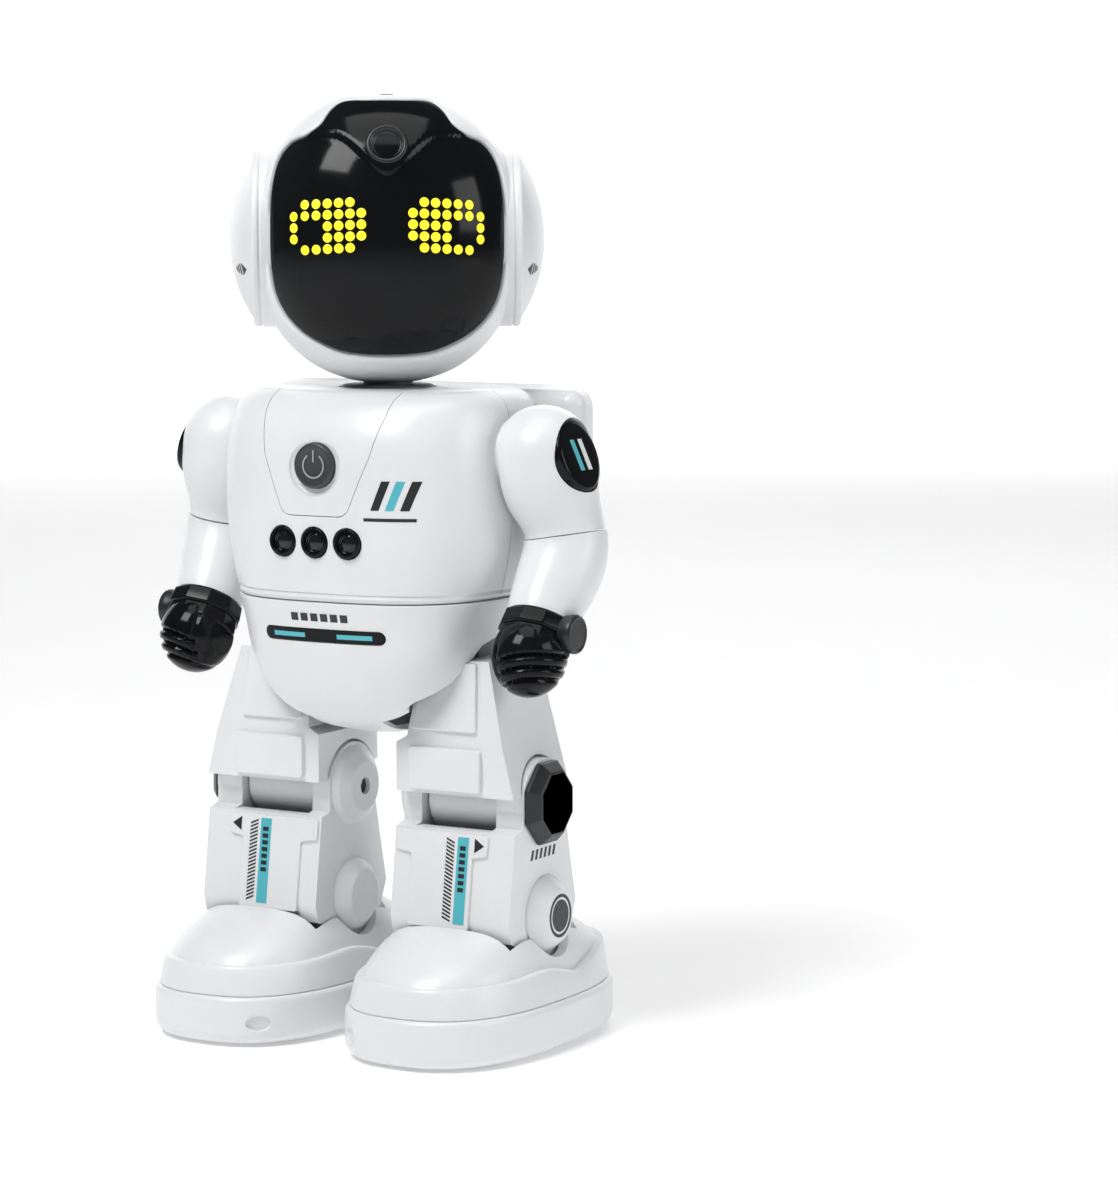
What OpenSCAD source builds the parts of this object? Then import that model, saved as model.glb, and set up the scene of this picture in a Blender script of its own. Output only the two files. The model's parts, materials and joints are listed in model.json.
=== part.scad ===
/* [Overall] */
// Overall height of the standing robot
total_h = 265; // [265:1:265]
// Distance of the head, torso and leg axes behind the middle of the feet
body_y = 3; // [2:0.5:4]
// Wall thickness of the moulded shells
wall = 2.0; // [1.6:0.1:2.2]
// Angle that the head is turned to the robot's left at rest
head_turn = 32; // [0:1:40]

/* [Head] */
// Half width of the head shell
head_a = 37.4; // [37:0.1:37.6]
// Half depth of the head shell
head_b = 35; // [34:0.1:36]
// Half height of the head shell
head_c = 40.8; // [40:0.1:41]
// Radius of the round ear pods
ear_r = 24.5; // [23:0.1:25]

/* [Torso] */
// Height of the seam between chest and belly
waist_z = 124.5; // [124:0.5:125]
// Depth at which the front and rear chest shells meet
split_y = -1; // [-1.5:0.5:0]

/* [Arms] */
// Height of the shoulder axis
shoulder_z = 164.4; // [164:0.1:165]
// Radius of the shoulder ball
shoulder_r = 14.1; // [13.6:0.1:14.3]
// Sideways distance of the elbow
elbow_x = 56; // [55.7:0.1:56.1]
// Outward tilt of the sleeve seam at the elbow
elbow_splay = 9; // [6:1:10]
// Forward lean of the wrist
wrist_lean = 33; // [31:1:35]

/* [Legs] */
// Sideways distance of each leg's middle
leg_x = 31.8; // [31.6:0.1:32]
// Height of the knee axis
knee_z = 68; // [67.5:0.5:68.5]
// Height of the ankle axis
ankle_z = 36.5; // [36:0.5:37]
// Length of the sole
foot_l = 95; // [94:0.5:96]
// Width of the sole
foot_w = 58; // [57:0.5:58]

/* [Hidden] */
$fn = 48;
white = "white";
black = [0.1, 0.1, 0.1];
head_z = total_h - head_c - 0.2;
gap = 0.3;
run = 0.05;
shoulder_y = 0.5;
shoulder_x = 51.7;
bush_r = 4.9;
axle_r = 3;
pin_r = 2.5;
ear_x = 32.2;
ear_y = 5;
ear_z = 223.5;
thigh_top_z = 108;
thigh_room_y = 16;
sole_h = 14;
wheel_r = 7;
wheel_y = 16;
post_x = [20.5, 36.5];
fixed_fit = 0.02;
shoulder_face_x = 44.2;
boss_r = 10;
neck_room_r = 13.8;
button_r = 6.2;
button_z = 162.2;
button_face_y = 38.6;
sensor_x = [-10.4, 0, 10.4];
sensor_z = 141.2;
sensor_r = 4.2;
sensor_face_y = 39;
belt_z = 115.2;
screw_x = 26;
// Height and outer depth of each pair of case screws
case_screws = [[129, 28], [150, 29]];
door_screw_z = 131.8;

/* Freeform helpers */

// A signed power, used by the superellipse
function spow(v, e) = sign(v) * pow(abs(v), e);

// One closed ring of a superellipse with its own front and rear depths
function ring(z, a, front, rear, n, count) = [
    for (i = [0 : count - 1])
        let (t = 360 * i / count, c = cos(t), s = sin(t))
        [a * spow(c, 2 / n), (s < 0 ? front : rear) * spow(s, 2 / n), z]
];

// A closed solid through a stack of rings
module loft(rings) {
    count = len(rings[0]);
    last = len(rings) - 1;
    points = [for (r = rings) each r];
    faces = [
        [for (i = [0 : count - 1]) i],
        [for (i = [count - 1 : -1 : 0]) last * count + i],
        for (k = [0 : last - 1]) for (i = [0 : count - 1])
            let (j = (i + 1) % count)
            each [
                [k * count + i, (k + 1) * count + i, (k + 1) * count + j],
                [k * count + i, (k + 1) * count + j, k * count + j]
            ]
    ];
    polyhedron(points, faces, convexity = 4);
}

// Takes a freeform piece as one mesh
module freeform() resize([0, 0, 0]) children();

module turned_head() translate([0, body_y, 0]) rotate([0, 0, head_turn]) children();
module on_body() translate([0, body_y, 0]) children();
module both() { children(); mirror([1, 0, 0]) children(); }
module side(s) mirror([s < 0 ? 1 : 0, 0, 0]) children();
module along_x(x0, x1, y, z, r, r2 = undef)
    translate([x0, y, z]) rotate([0, 90, 0]) cylinder(h = x1 - x0, r1 = r, r2 = is_undef(r2) ? r : r2);
module along_y(y0, y1, x, z, r)
    translate([x, y1, z]) rotate([90, 0, 0]) cylinder(h = y1 - y0, r = r);
// An outline in X and Z, extruded along Y
module wide(y0, y1) translate([0, y1, 0]) rotate([90, 0, 0]) linear_extrude(y1 - y0) children();
// An outline in Y and Z, extruded along X
module deep(x0, x1) translate([x0, 0, 0]) rotate([90, 0, 90]) linear_extrude(x1 - x0) children();

/* Head */

head_power = 2.25;
head_rings = 15;

// The egg of the head, drawn in by inset
module head_egg(inset, count = 36) {
    loft([
        for (k = [0 : head_rings])
            let (t = -cos(180 * (k + 0.35) / (head_rings + 0.7)),
                 s = pow(1 - pow(abs(t), head_power), 1 / head_power))
            ring(head_z + t * (head_c - inset), s * (head_a - inset),
                 s * (head_b - inset), s * (head_b - inset), head_power, count)
    ]);
}

// The face window: a rounded square with a bump over the forehead
module visor_outline(grow = 0) {
    offset(r = 6 + grow, $fn = 32) offset(r = -6) {
        translate([0, 222.5]) scale([1, 0.97]) polygon([
            for (i = [0 : 59])
                let (t = 6 * i, n = sin(t) > 0 ? 4 : 3)
                [32.4 * spow(cos(t), 2 / n), (sin(t) > 0 ? 29.6 : 31.8) * spow(sin(t), 2 / n)]
        ]);
        polygon([[-19, 244], [-11.5, 260.6], [11.5, 260.6], [19, 244]]);
    }
}

module head_shell_half(front) {
    freeform() turned_head() difference() {
        intersection() {
            difference() {
                head_egg(0);
                head_egg(wall);
            }
            translate([-60, front ? -60 : gap / 2, 150]) cube([120, 60 - gap / 2, 150]);
        }
        if (front) wide(-50, -8) visor_outline(gap);
        translate([0, 0, 170]) cylinder(h = 20, r = 8.2);
    }
}

module head_front_shell() color(white) head_shell_half(true);
module head_rear_shell() color(white) head_shell_half(false);

module visor()
    color(black) freeform() turned_head() intersection() {
        difference() {
            head_egg(0);
            head_egg(1.6);
        }
        difference() {
            wide(-50, -8.2) visor_outline();
            forehead() cylinder(h = 20, r = 6.1, center = true);
        }
    }

// The seat of the projector in the forehead: its Z axis points out of the head
module forehead() translate([0, -29.4, lens_z]) rotate([90 - lens_tilt, 0, 0]) children();

module lens_ring()
    color(black) turned_head() forehead() difference() {
        translate([0, 0, -8]) cylinder(h = 9, r = 5.8);
        translate([0, 0, -4]) cylinder(h = 6, r = 3.7);
        translate([0, 0, -9]) cylinder(h = 6, r = 2.9);
    }

module projector_lens()
    color([0.15, 0.15, 0.2]) turned_head() forehead() translate([0, 0, -3.95]) cylinder(h = 2.6, r = 3.65);

module led_board()
    color("darkgreen") turned_head() translate([-26.5, -21.4, 214]) cube([53, 1.6, 24]);

// Dots that each eye lights: column limits of the five rows, for the robot's right eye
eye_rows = [[1, 5], [0, 6], [3, 6], [3, 6], [1, 5]];
led_pitch = 3.0;
eye_x = 16.3;
lens_z = 249.3;
lens_tilt = 24;
module eye_dots(mirrored)
    mirror([mirrored ? 1 : 0, 0, 0]) for (row = [0 : 4]) {
        z = 227.5 + (2 - row) * led_pitch;
        for (col = [eye_rows[row][0] : eye_rows[row][1]])
            along_y(-22.9, -21.45, -eye_x + (col - 3) * led_pitch, z, 1.2);
        if (row == 2 || row == 3) along_y(-22.9, -21.45, -eye_x - 3 * led_pitch, z, 1.2);
    }
module eye_leds() color("yellow") turned_head() { eye_dots(false); eye_dots(true); }

// The flat band that each ear pod sits on, hollowed where the head passes through it
module ear_rims()
    color(white) freeform() turned_head() both() difference() {
        along_x(ear_x - 9, ear_x + 4.4, ear_y, ear_z, ear_r);
        head_egg(-0.15);
    }
module ear_domes()
    color(white) turned_head() both() translate([ear_x + 4.5, ear_y, ear_z]) rotate([0, 90, 0])
        difference() {
            intersection() {
                translate([0, 0, 8.3 - 41]) sphere(r = 41, $fn = 64);
                cylinder(h = 9, r = ear_r - 1.2);
            }
            translate([0, 0, 6.3 - 41]) sphere(r = 41, $fn = 64);
        }

module neck_shaft()
    color("dimgray") turned_head() {
        translate([0, 0, 172]) cylinder(h = 20, r = 7);
        translate([0, 0, 187]) cylinder(h = 2, r = 10);
        translate([0, 0, 173]) cylinder(h = 2, r = 9.5);
    }

/* Torso */

torso_power = 2.8;
// Height, half width, front depth and rear depth of the torso
torso = [
    [85.6, 8, 10, 8], [88, 16, 19, 14], [92, 24, 26, 20], [97, 30, 30, 24], [108, 35.5, 33.6, 28],
    [118, 37.4, 35.4, 30], [125, 38.9, 36.9, 31], [140, 41.9, 38.4, 32], [155, 43, 38.6, 32.4],
    [168, 42.6, 37.4, 32], [176, 41.4, 34, 31], [180, 39.6, 30.4, 29], [182.2, 36, 26.2, 26]
];

module torso_solid(inset, count = 40)
    loft([
        for (r = torso)
            let (z = r[0] < 120 ? r[0] + inset : (r[0] > 170 ? r[0] - inset : r[0]))
            ring(z, r[1] - inset, r[2] - inset, r[3] - inset, torso_power, count)
    ]);

// The shoulder housing behind the arms
module back_wings(inset)
    hull() for (x = [-1, 1]) {
        for (z = [163.1, 177])
            translate([x * (47 - inset * 0.7), 21 + inset * 0.6, z]) sphere(r = 4.6 - inset * 0.5, $fn = 18);
        for (z = [163.3, 176.2])
            translate([x * (44 - inset * 0.7), 26.4 - inset * 0.7, z]) sphere(r = 6.4 - inset * 0.5, $fn = 18);
    }

// Round boss on each side of the chest that the arm turns against
module shoulder_boss() both() along_x(36, shoulder_face_x - gap, shoulder_y - body_y, shoulder_z, boss_r);

module upper_torso(front) {
    freeform() on_body() difference() {
        intersection() {
            union() {
                difference() {
                    union() {
                        torso_solid(0);
                        if (!front) back_wings(0);
                    }
                    torso_solid(wall);
                    if (!front) back_wings(wall);
                }
                shoulder_boss();
            }
            translate([-80, front ? -80 : split_y - body_y + gap, waist_z + gap])
                cube([160, front ? 80 + split_y - body_y : 120, 100]);
        }
        translate([0, 0, 160]) cylinder(h = 40, r = neck_room_r);
        both() along_x(30, 50, shoulder_y - body_y, shoulder_z, bush_r + 0.1);
        if (front) {
            along_y(-60, -20, 0, button_z, button_r + gap);
            for (x = sensor_x) along_y(-60, -20, x, sensor_z, sensor_r + gap);
            wide(-60, -28) panel_outline(0.25);
        } else {
            translate([-20, 20, 129]) cube([40, 30, 24]);
            along_y(20, 50, 14, 160, 3.1);
            translate([-19, 20, 157.5]) cube([10, 30, 5]);
            both() for (screw = case_screws) along_y(20, 50, screw_x, screw[0], 2.8);
        }
    }
}
module chest_front_shell() color(white) upper_torso(true);
module chest_rear_shell() color(white) upper_torso(false);

// The inset bib on the chest: straight along the top, tapered sides and a rounded foot
module panel_outline(grow = 0)
    offset(r = 4 + grow, $fn = 32) offset(r = -4)
        polygon([[-20, 190], [20, 190], [16.8, 165], [10, 148.6], [-10, 148.6], [-16.8, 165]]);

module chest_panel()
    color(white) freeform() on_body() intersection() {
        difference() {
            torso_solid(0);
            torso_solid(wall);
        }
        difference() {
            wide(-60, -28.2) panel_outline(0);
            along_y(-60, -20, 0, button_z, button_r + gap);
            translate([0, 0, 160]) cylinder(h = 40, r = neck_room_r);
        }
    }

// The room that each thigh takes out of the belly
module thigh_room()
    both() {
        deep(20.5, 60) polygon([[-26, 80], [-24, 97], [-11, 114.5], [6, 117], [thigh_room_y, 117], [thigh_room_y, 80]]);
        deep(11.6, 21) polygon([[-22.5, 80], [-22.5, 109.5], [thigh_room_y, 109.5], [thigh_room_y, 80]]);
    }

module belly_shell()
    color(white) freeform() on_body() difference() {
        intersection() {
            difference() {
                torso_solid(-0.25);
                torso_solid(wall);
            }
            translate([-80, -80, 80]) cube([160, 160, waist_z - 80]);
        }
        thigh_room();
        wide(-60, -30) belly_window_outline(0.2);
    }

module belly_window_outline(grow = 0)
    hull() for (x = [-17.6, 17.6]) translate([x, belt_z]) circle(r = 1.8 + grow, $fn = 24);

module belly_light_window()
    color(black) freeform() on_body() intersection() {
        difference() {
            torso_solid(-0.3);
            torso_solid(wall - 0.2);
        }
        wide(-60, -30) belly_window_outline();
    }

module sensor_bezels()
    color(black) on_body() for (x = sensor_x) difference() {
        along_y(-sensor_face_y, -33, x, sensor_z, sensor_r);
        along_y(-sensor_face_y - 1, -36, x, sensor_z, 3.1);
    }
module sensor_lenses()
    color("dimgray") on_body() for (x = sensor_x) along_y(-38, -36.05, x, sensor_z, 3);

module neck_collar()
    color("gray") on_body() difference() {
        translate([0, 0, 175.4]) cylinder(h = 7.6, r = 13.3);
        translate([0, 0, 175]) cylinder(h = 10, r = 7 + run);
    }

module main_board() color("darkgreen") on_body() translate([-28, -20, 130]) cube([56, 1.6, 26]);
module speaker()
    color("dimgray") on_body() along_y(25, 28, 0, 167, 7);
module battery_pack()
    color("steelblue") on_body() translate([-18, -4, 129.5]) cube([36, 19, 25]);
module battery_door()
    color(white) freeform() on_body() intersection() {
        difference() {
            torso_solid(0);
            torso_solid(wall);
        }
        difference() {
            translate([-19.7, 20, 129.3]) cube([39.4, 30, 23.4]);
            along_y(20, 50, 0, door_screw_z, 2.4);
        }
    }
module charging_socket()
    color(black) on_body() difference() {
        along_y(20, 32.4, 14, 160, 3);
        along_y(23, 50, 14, 160, 1.8);
    }
module power_switch() color(black) on_body() translate([-16.5, 27, 158.3]) cube([4, 5.4, 3.4]);

// Countersunk screws: four hold the rear chest shell and one the battery door
module screw(x, y, z, head_r) {
    along_y(y - 7, y - 1.7, x, z, head_r / 2);
    along_y(y - 1.8, y, x, z, head_r);
}
module shell_screws()
    color("silver") on_body() {
        both() for (screw = case_screws) screw(screw_x, screw[1], screw[0], 2.6);
        screw(0, 31.2, door_screw_z, 2.2);
    }

module shoulder_bushes()
    color("gray") both() difference() {
        along_x(35, 43.6, shoulder_y, shoulder_z, bush_r);
        along_x(30, 50, shoulder_y, shoulder_z, axle_r + run);
    }

// The button that slides in the middle of the chest panel
module power_button()
    color([0.3, 0.3, 0.3]) on_body() {
        along_y(-button_face_y, -33.5, 0, button_z, button_r);
        along_y(-33.5, -22, 0, button_z, 2.5);
    }

/* Legs */

// The bar inside the belly that both thighs hang from
module hip_frame()
    color("dimgray") on_body() {
        translate([-34, -8, 118.2]) cube([68, 16, 5]);
        both() translate([23, -6, thigh_top_z + 0.1]) cube([10, 12, 10.2]);
    }

// Front view of the left thigh shell, and its side view, which leans back as it rises
module thigh_front_view()
    polygon([[12.9, 70.8], [12.9, 84.5], [16.2, 86], [19.6, thigh_top_z], [40.9, thigh_top_z], [50.6, 70.8]]);
module thigh_side_view()
    polygon([[-17.2, 70], [-17.2, 84], [-14, thigh_top_z], [10, thigh_top_z], [13.4, 96], [14, 74]]);

module thigh(s)
    color(white) on_body() side(s) difference() {
        intersection() {
            wide(-30, 30) thigh_front_view();
            deep(0, 60) thigh_side_view();
        }
        intersection() {
            wide(-30, 30) offset(delta = -wall) thigh_front_view();
            deep(0, 60) offset(delta = -wall) thigh_side_view();
        }
        translate([18.4, -14.6, 60]) cube([24, 26, 30]);
        along_x(42.2, 60, 0, knee_z, 13.2);
        along_x(0, 18.4, 0, knee_z, 13.2);
    }
module left_thigh() thigh(1);
module right_thigh() thigh(-1);

// The roller inside each thigh that carries the knee pin, and the post that holds it
module knee_knuckles()
    color(white) on_body() both() difference() {
        union() {
            along_x(18.9, 41.6, 0, knee_z, 10.2);
            translate([23, -7.5, knee_z]) cube([14, 15, thigh_top_z - wall - knee_z - 0.1]);
        }
        along_x(10, 60, 0, knee_z, pin_r + fixed_fit);
    }
module knee_pins() color("silver") on_body() both() along_x(14, 50, 0, knee_z, pin_r);

// Side view of the shin: round ear at the knee, straight front, flared rear and rounded foot
module shin_side_view()
    polygon([
        for (t = [-20 : 10 : 190]) [12.4 * cos(t), knee_z + 12.4 * sin(t)],
        [-12.4, 61.9], [-16.6, 60.8], [-20, 36], [-18.6, 31],
        for (t = [210 : 12 : 330]) [15.5 * cos(t), ankle_z + 15.5 * sin(t)],
        [17.6, 38], [14.2, 52]
    ]);

module shin(s)
    color(white) on_body() side(s) difference() {
        deep(12.4, 51) shin_side_view();
        translate([18.2, -30, 61]) cube([24, 60, 30]);
        translate([18.2, -12.2, 0]) cube([24, 24.4, 80]);
        along_x(0, 60, 0, knee_z, pin_r + run);
        along_x(0, 60, 0, ankle_z, pin_r + fixed_fit);
        along_x(50.2, 60, 0, knee_z, 9);
    }
module left_shin() shin(1);
module right_shin() shin(-1);

// The dark six-sided cap over the outer end of the knee pin
module knee_cap(s)
    color(black) on_body() side(s) {
        along_x(50.3, 51.6, 0, knee_z, 8.8);
        translate([51.6, 0, knee_z]) rotate([0, 90, 0]) rotate([0, 0, 15])
            cylinder(h = 3.4, r1 = 12.4, r2 = 8.8, $fn = 8);
    }
module left_knee_cap() knee_cap(1);
module right_knee_cap() knee_cap(-1);

// Cone-shaped covers over both ends of the ankle pin, and the round cover inside the knee
module leg_covers(s)
    color(white) on_body() side(s) {
        along_x(51.05, 55.6, 0, ankle_z, 11, 7.4);
        along_x(8.4, 12.35, 0, ankle_z, 7.2, 10.6);
        difference() {
            along_x(8.2, 12.35, 0, knee_z, 7.2, 11.4);
            along_x(7, 9.6, 0, knee_z, pin_r);
        }
    }
module left_leg_covers() leg_covers(1);
module right_leg_covers() leg_covers(-1);

// The pin that both posts of the sole turn on
module ankle_pin(s) color("silver") on_body() side(s) along_x(12.6, 50.8, 0, ankle_z, pin_r);
module left_ankle_pin() ankle_pin(1);
module right_ankle_pin() ankle_pin(-1);

// One ring of the boot: half circles at the toe and heel, joined by straight sides
function boot_ring(z, inset, count = 48) = [
    for (i = [0 : count - 1])
        let (t = 360 * (i + 0.5) / count, r = foot_w / 2 - inset)
        [leg_x + r * cos(t), sign(sin(t)) * (foot_l - foot_w) / 2 + r * sin(t), z]
];
// Height and inset of each ring of the boot's upper: a band, a small ledge and the dome
boot_rings = [[sole_h + 0.2, 1.4], [22.4, 3], [22.7, 4.6], [26, 6], [30.4, 9.2], [33.6, 14], [34.8, 18.4]];

module foot_bulge(inset)
    loft([for (r = boot_rings) boot_ring(r[0] - inset, r[1] + inset)]);

// Room for the shin to swing inside the foot
module shin_slot() on_body() {
    deep(11.9, 51.5) polygon([
        [-21.6, 50], [-21.4, 36], [-20.8, 30], [-18.8, 24.8],
        for (t = [225 : 15 : 330]) [17.4 * cos(t), ankle_z + 17.4 * sin(t)],
        [18.4, 32], [20.6, 50]
    ]);
    along_x(0, 65, 0, ankle_z, 3.2);
    along_x(51, 65, 0, ankle_z, 11.5);
    along_x(0, 12.4, 0, ankle_z, 11.5);
    translate([0, -21, 31.2]) cube([65, 41, 20]);
}

module foot_upper(s)
    color(white) freeform() side(s) difference() {
        foot_bulge(0);
        foot_bulge(wall);
        shin_slot();
    }
module left_foot_upper() foot_upper(1);
module right_foot_upper() foot_upper(-1);

module sole(s)
    color(white) side(s) difference() {
        union() {
            difference() {
                translate([0, 0, 1]) linear_extrude(sole_h - 1) sole_outline(0);
                translate([0, 0, 3]) linear_extrude(sole_h) sole_outline(wall);
            }
            on_body() for (x = post_x) translate([x, -4, 2]) cube([4, 8, 35]);
            on_body() for (x = post_x) along_x(x, x + 4, 0, ankle_z, 4.6);
            for (x = [-8.6, 5.6]) translate([leg_x + x, wheel_y - 3, 2]) cube([3, 6, 8]);
        }
        for (x = [-13, 13]) translate([leg_x + x - 4, wheel_y - 8, 0]) cube([8, 16, 8]);
        toe_hole() cylinder(h = 8, r = 3);
        on_body() along_x(15, 45, 0, ankle_z, pin_r + run);
        along_x(leg_x - 9.5, leg_x + 9.5, wheel_y, wheel_r, 1.5 + run);
    }
// The hole that goes in through the inner front corner of the sole
module toe_hole()
    translate([leg_x, -(foot_l - foot_w) / 2, 7]) rotate([0, 0, -35]) translate([0, -foot_w / 2 - 2, 0])
        rotate([-90, 0, 0]) children();
// The same outline as the foot's, from true arcs
module sole_outline(inset)
    translate([leg_x, 0]) {
        for (y = [-1, 1]) translate([0, y * (foot_l - foot_w) / 2]) circle(r = foot_w / 2 - inset);
        square([foot_w - 2 * inset, foot_l - foot_w], center = true);
    }
module left_sole() sole(1);
module right_sole() sole(-1);

// Grip pads under the toes and the heel
module sole_pads(s)
    color("dimgray") side(s) {
        for (x = [-12, 12]) translate([leg_x + x, -26, 0]) cylinder(h = 1, r = 7);
        translate([leg_x, 34, 0]) cylinder(h = 1, r = 6);
    }
module left_sole_pads() sole_pads(1);
module right_sole_pads() sole_pads(-1);

// Geared motor lying in the toe of each foot
module foot_motor(s)
    color("silver") side(s) translate([leg_x, -14, 0]) {
        translate([-9, -13, 3.1]) cube([18, 11, 10]);
        along_y(-2, 11, 0, 9.2, 5.5);
    }
module left_foot_motor() foot_motor(1);
module right_foot_motor() foot_motor(-1);

// Two rubber wheels on one axle
module drive_wheels(s)
    color("dimgray") side(s) {
        for (x = [-13, 13]) along_x(leg_x + x - 3, leg_x + x + 3, wheel_y, wheel_r, wheel_r);
        along_x(leg_x - 10, leg_x + 10, wheel_y, wheel_r, 1.5);
    }
module left_drive_wheels() drive_wheels(1);
module right_drive_wheels() drive_wheels(-1);

/* Arms */

shoulder_at = [shoulder_x, shoulder_y, shoulder_z];
elbow_at = [elbow_x, 5, 142.7];
sleeve_r = 11.6;
wrist_r = 9.2;
wrist_pin_r = 5;
wrist_pin_l = 4.5;
elbow_way = [sin(elbow_splay), 0, -cos(elbow_splay)];
sleeve_at = elbow_at - 4.7 * elbow_way;
bend_at = elbow_at + 7.8 * elbow_way;
wrist_at = [54.9, -7, 119.9];
forearm_end = wrist_at + 0.08 * (wrist_at - bend_at);

// Places with their Z axis pointing down the arm
module at_elbow() translate(elbow_at) rotate([0, 180 - elbow_splay, 0]) children();
module at_wrist() translate(wrist_at) rotate([180 - wrist_lean, 0, 0]) children();

// A cone between two points
module strut(p, q, r1, r2) {
    d = q - p;
    translate(p) rotate([0, acos(d[2] / norm(d)), atan2(d[1], d[0])]) cylinder(h = norm(d), r1 = r1, r2 = r2);
}

// The ball and short sleeve of the upper arm, with the axle that turns in the chest
module upper_arm(s)
    color(white) side(s) {
        difference() {
            union() {
                translate(shoulder_at) sphere(r = shoulder_r);
                strut(shoulder_at, sleeve_at, shoulder_r - 0.6, sleeve_r - 0.4);
                translate(sleeve_at) sphere(r = sleeve_r - 0.15);
                at_elbow() translate([0, 0, -4.8]) cylinder(h = 4.6, r = sleeve_r);
                at_elbow() translate([0, 0, -2]) cylinder(h = 6.7, r = 7);
            }
            shoulder_cap_seat(0.1);
            translate([0, -50, 100]) cube([shoulder_face_x, 100, 100]);
            at_elbow() translate([0, 0, -0.2]) difference() {
                cylinder(h = 20, r = 20);
                translate([0, 0, -1]) cylinder(h = 5.9, r = 7);
            }
        }
        along_x(33, shoulder_face_x + 1, shoulder_y, shoulder_z, axle_r);
        along_x(33, 34.6, shoulder_y, shoulder_z, 4.5);
    }
module left_upper_arm() upper_arm(1);
module right_upper_arm() upper_arm(-1);

// Faces the round cap of the shoulder: its Z axis points out of the cap
module at_cap() translate(shoulder_at - [0, 0, 3.1]) rotate([0, 71.5, 0]) children();
module shoulder_cap_seat(grow) at_cap() translate([0, 0, 8.6 - grow]) cylinder(h = 8, r = 10.4 + grow);
module shoulder_cap(s)
    color(black) side(s) at_cap() translate([0, 0, 8.6]) {
        cylinder(h = 2.9, r = 10.3);
        translate([0, 0, 2.9]) cylinder(h = 0.9, r1 = 10.3, r2 = 9.2);
    }
module left_shoulder_cap() shoulder_cap(1);
module right_shoulder_cap() shoulder_cap(-1);

// The forearm: a sleeve that turns on the upper arm's spigot and bends forward to the wrist
module forearm(s)
    color(white) side(s) difference() {
        union() {
            at_elbow() translate([0, 0, 0.1]) cylinder(h = 7.9, r = sleeve_r);
            translate(bend_at) sphere(r = sleeve_r - 0.15);
            strut(bend_at, forearm_end, sleeve_r - 0.6, wrist_r);
        }
        at_wrist() cylinder(h = 12, r = 20);
        at_elbow() translate([0, 0, -1]) cylinder(h = 6.2, r = 7 + run);
        at_elbow() translate([0, 0, -20]) cylinder(h = 20.1, r = 20);
        at_wrist() translate([0, 0, -wrist_pin_l - 0.2]) cylinder(h = wrist_pin_l + 2, r = wrist_pin_r + run);
    }
module left_forearm() forearm(1);
module right_forearm() forearm(-1);

// The glove: two cuff bands and a fist, with the spigot that turns in the wrist
module hand(s)
    color(black) side(s) at_wrist() {
        translate([0, 0, -wrist_pin_l]) cylinder(h = wrist_pin_l + 1, r = wrist_pin_r);
        translate([0, 0, 0.3]) cylinder(h = 5, r1 = 10.2, r2 = 10.6);
        translate([0, 0, 5.3]) cylinder(h = 4, r1 = 9.8, r2 = 10.2);
        intersection() {
            translate([0, 0, 11]) sphere(r = 11.4);
            translate([-10.4, -11.4, 5]) cube([20.8, 22.8, 16.6]);
        }
    }
module left_hand() hand(1);
module right_hand() hand(-1);
module wrist_knob(s)
    color(black) side(s) at_wrist() translate([0, 0, 3.4]) rotate([0, 90, 0]) translate([0, 0, 10.7]) {
        cylinder(h = 1.8, r = 5.4);
        translate([0, 0, 1.8]) cylinder(h = 0.8, r1 = 5.4, r2 = 4.6);
    }
module left_wrist_knob() wrist_knob(1);
module right_wrist_knob() wrist_knob(-1);

head_front_shell();
head_rear_shell();
visor();
lens_ring();
projector_lens();
led_board();
eye_leds();
ear_rims();
ear_domes();
neck_shaft();
chest_front_shell();
chest_rear_shell();
belly_shell();
chest_panel();
sensor_bezels();
sensor_lenses();
belly_light_window();
neck_collar();
main_board();
speaker();
battery_pack();
battery_door();
charging_socket();
shell_screws();
shoulder_bushes();
hip_frame();
left_thigh();
right_thigh();
knee_knuckles();
knee_pins();
power_button();
power_switch();
left_upper_arm();
right_upper_arm();
left_shoulder_cap();
right_shoulder_cap();
left_forearm();
right_forearm();
left_hand();
right_hand();
left_wrist_knob();
right_wrist_knob();
left_shin();
right_shin();
left_knee_cap();
right_knee_cap();
left_leg_covers();
right_leg_covers();
left_ankle_pin();
right_ankle_pin();
left_foot_upper();
right_foot_upper();
left_sole();
right_sole();
left_sole_pads();
right_sole_pads();
left_foot_motor();
right_foot_motor();
left_drive_wheels();
right_drive_wheels();
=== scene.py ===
"""Walking toy robot: the visible skin and finishes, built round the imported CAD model."""
import json
import math

import bmesh
import bpy
from mathutils import Matrix, Vector


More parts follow.
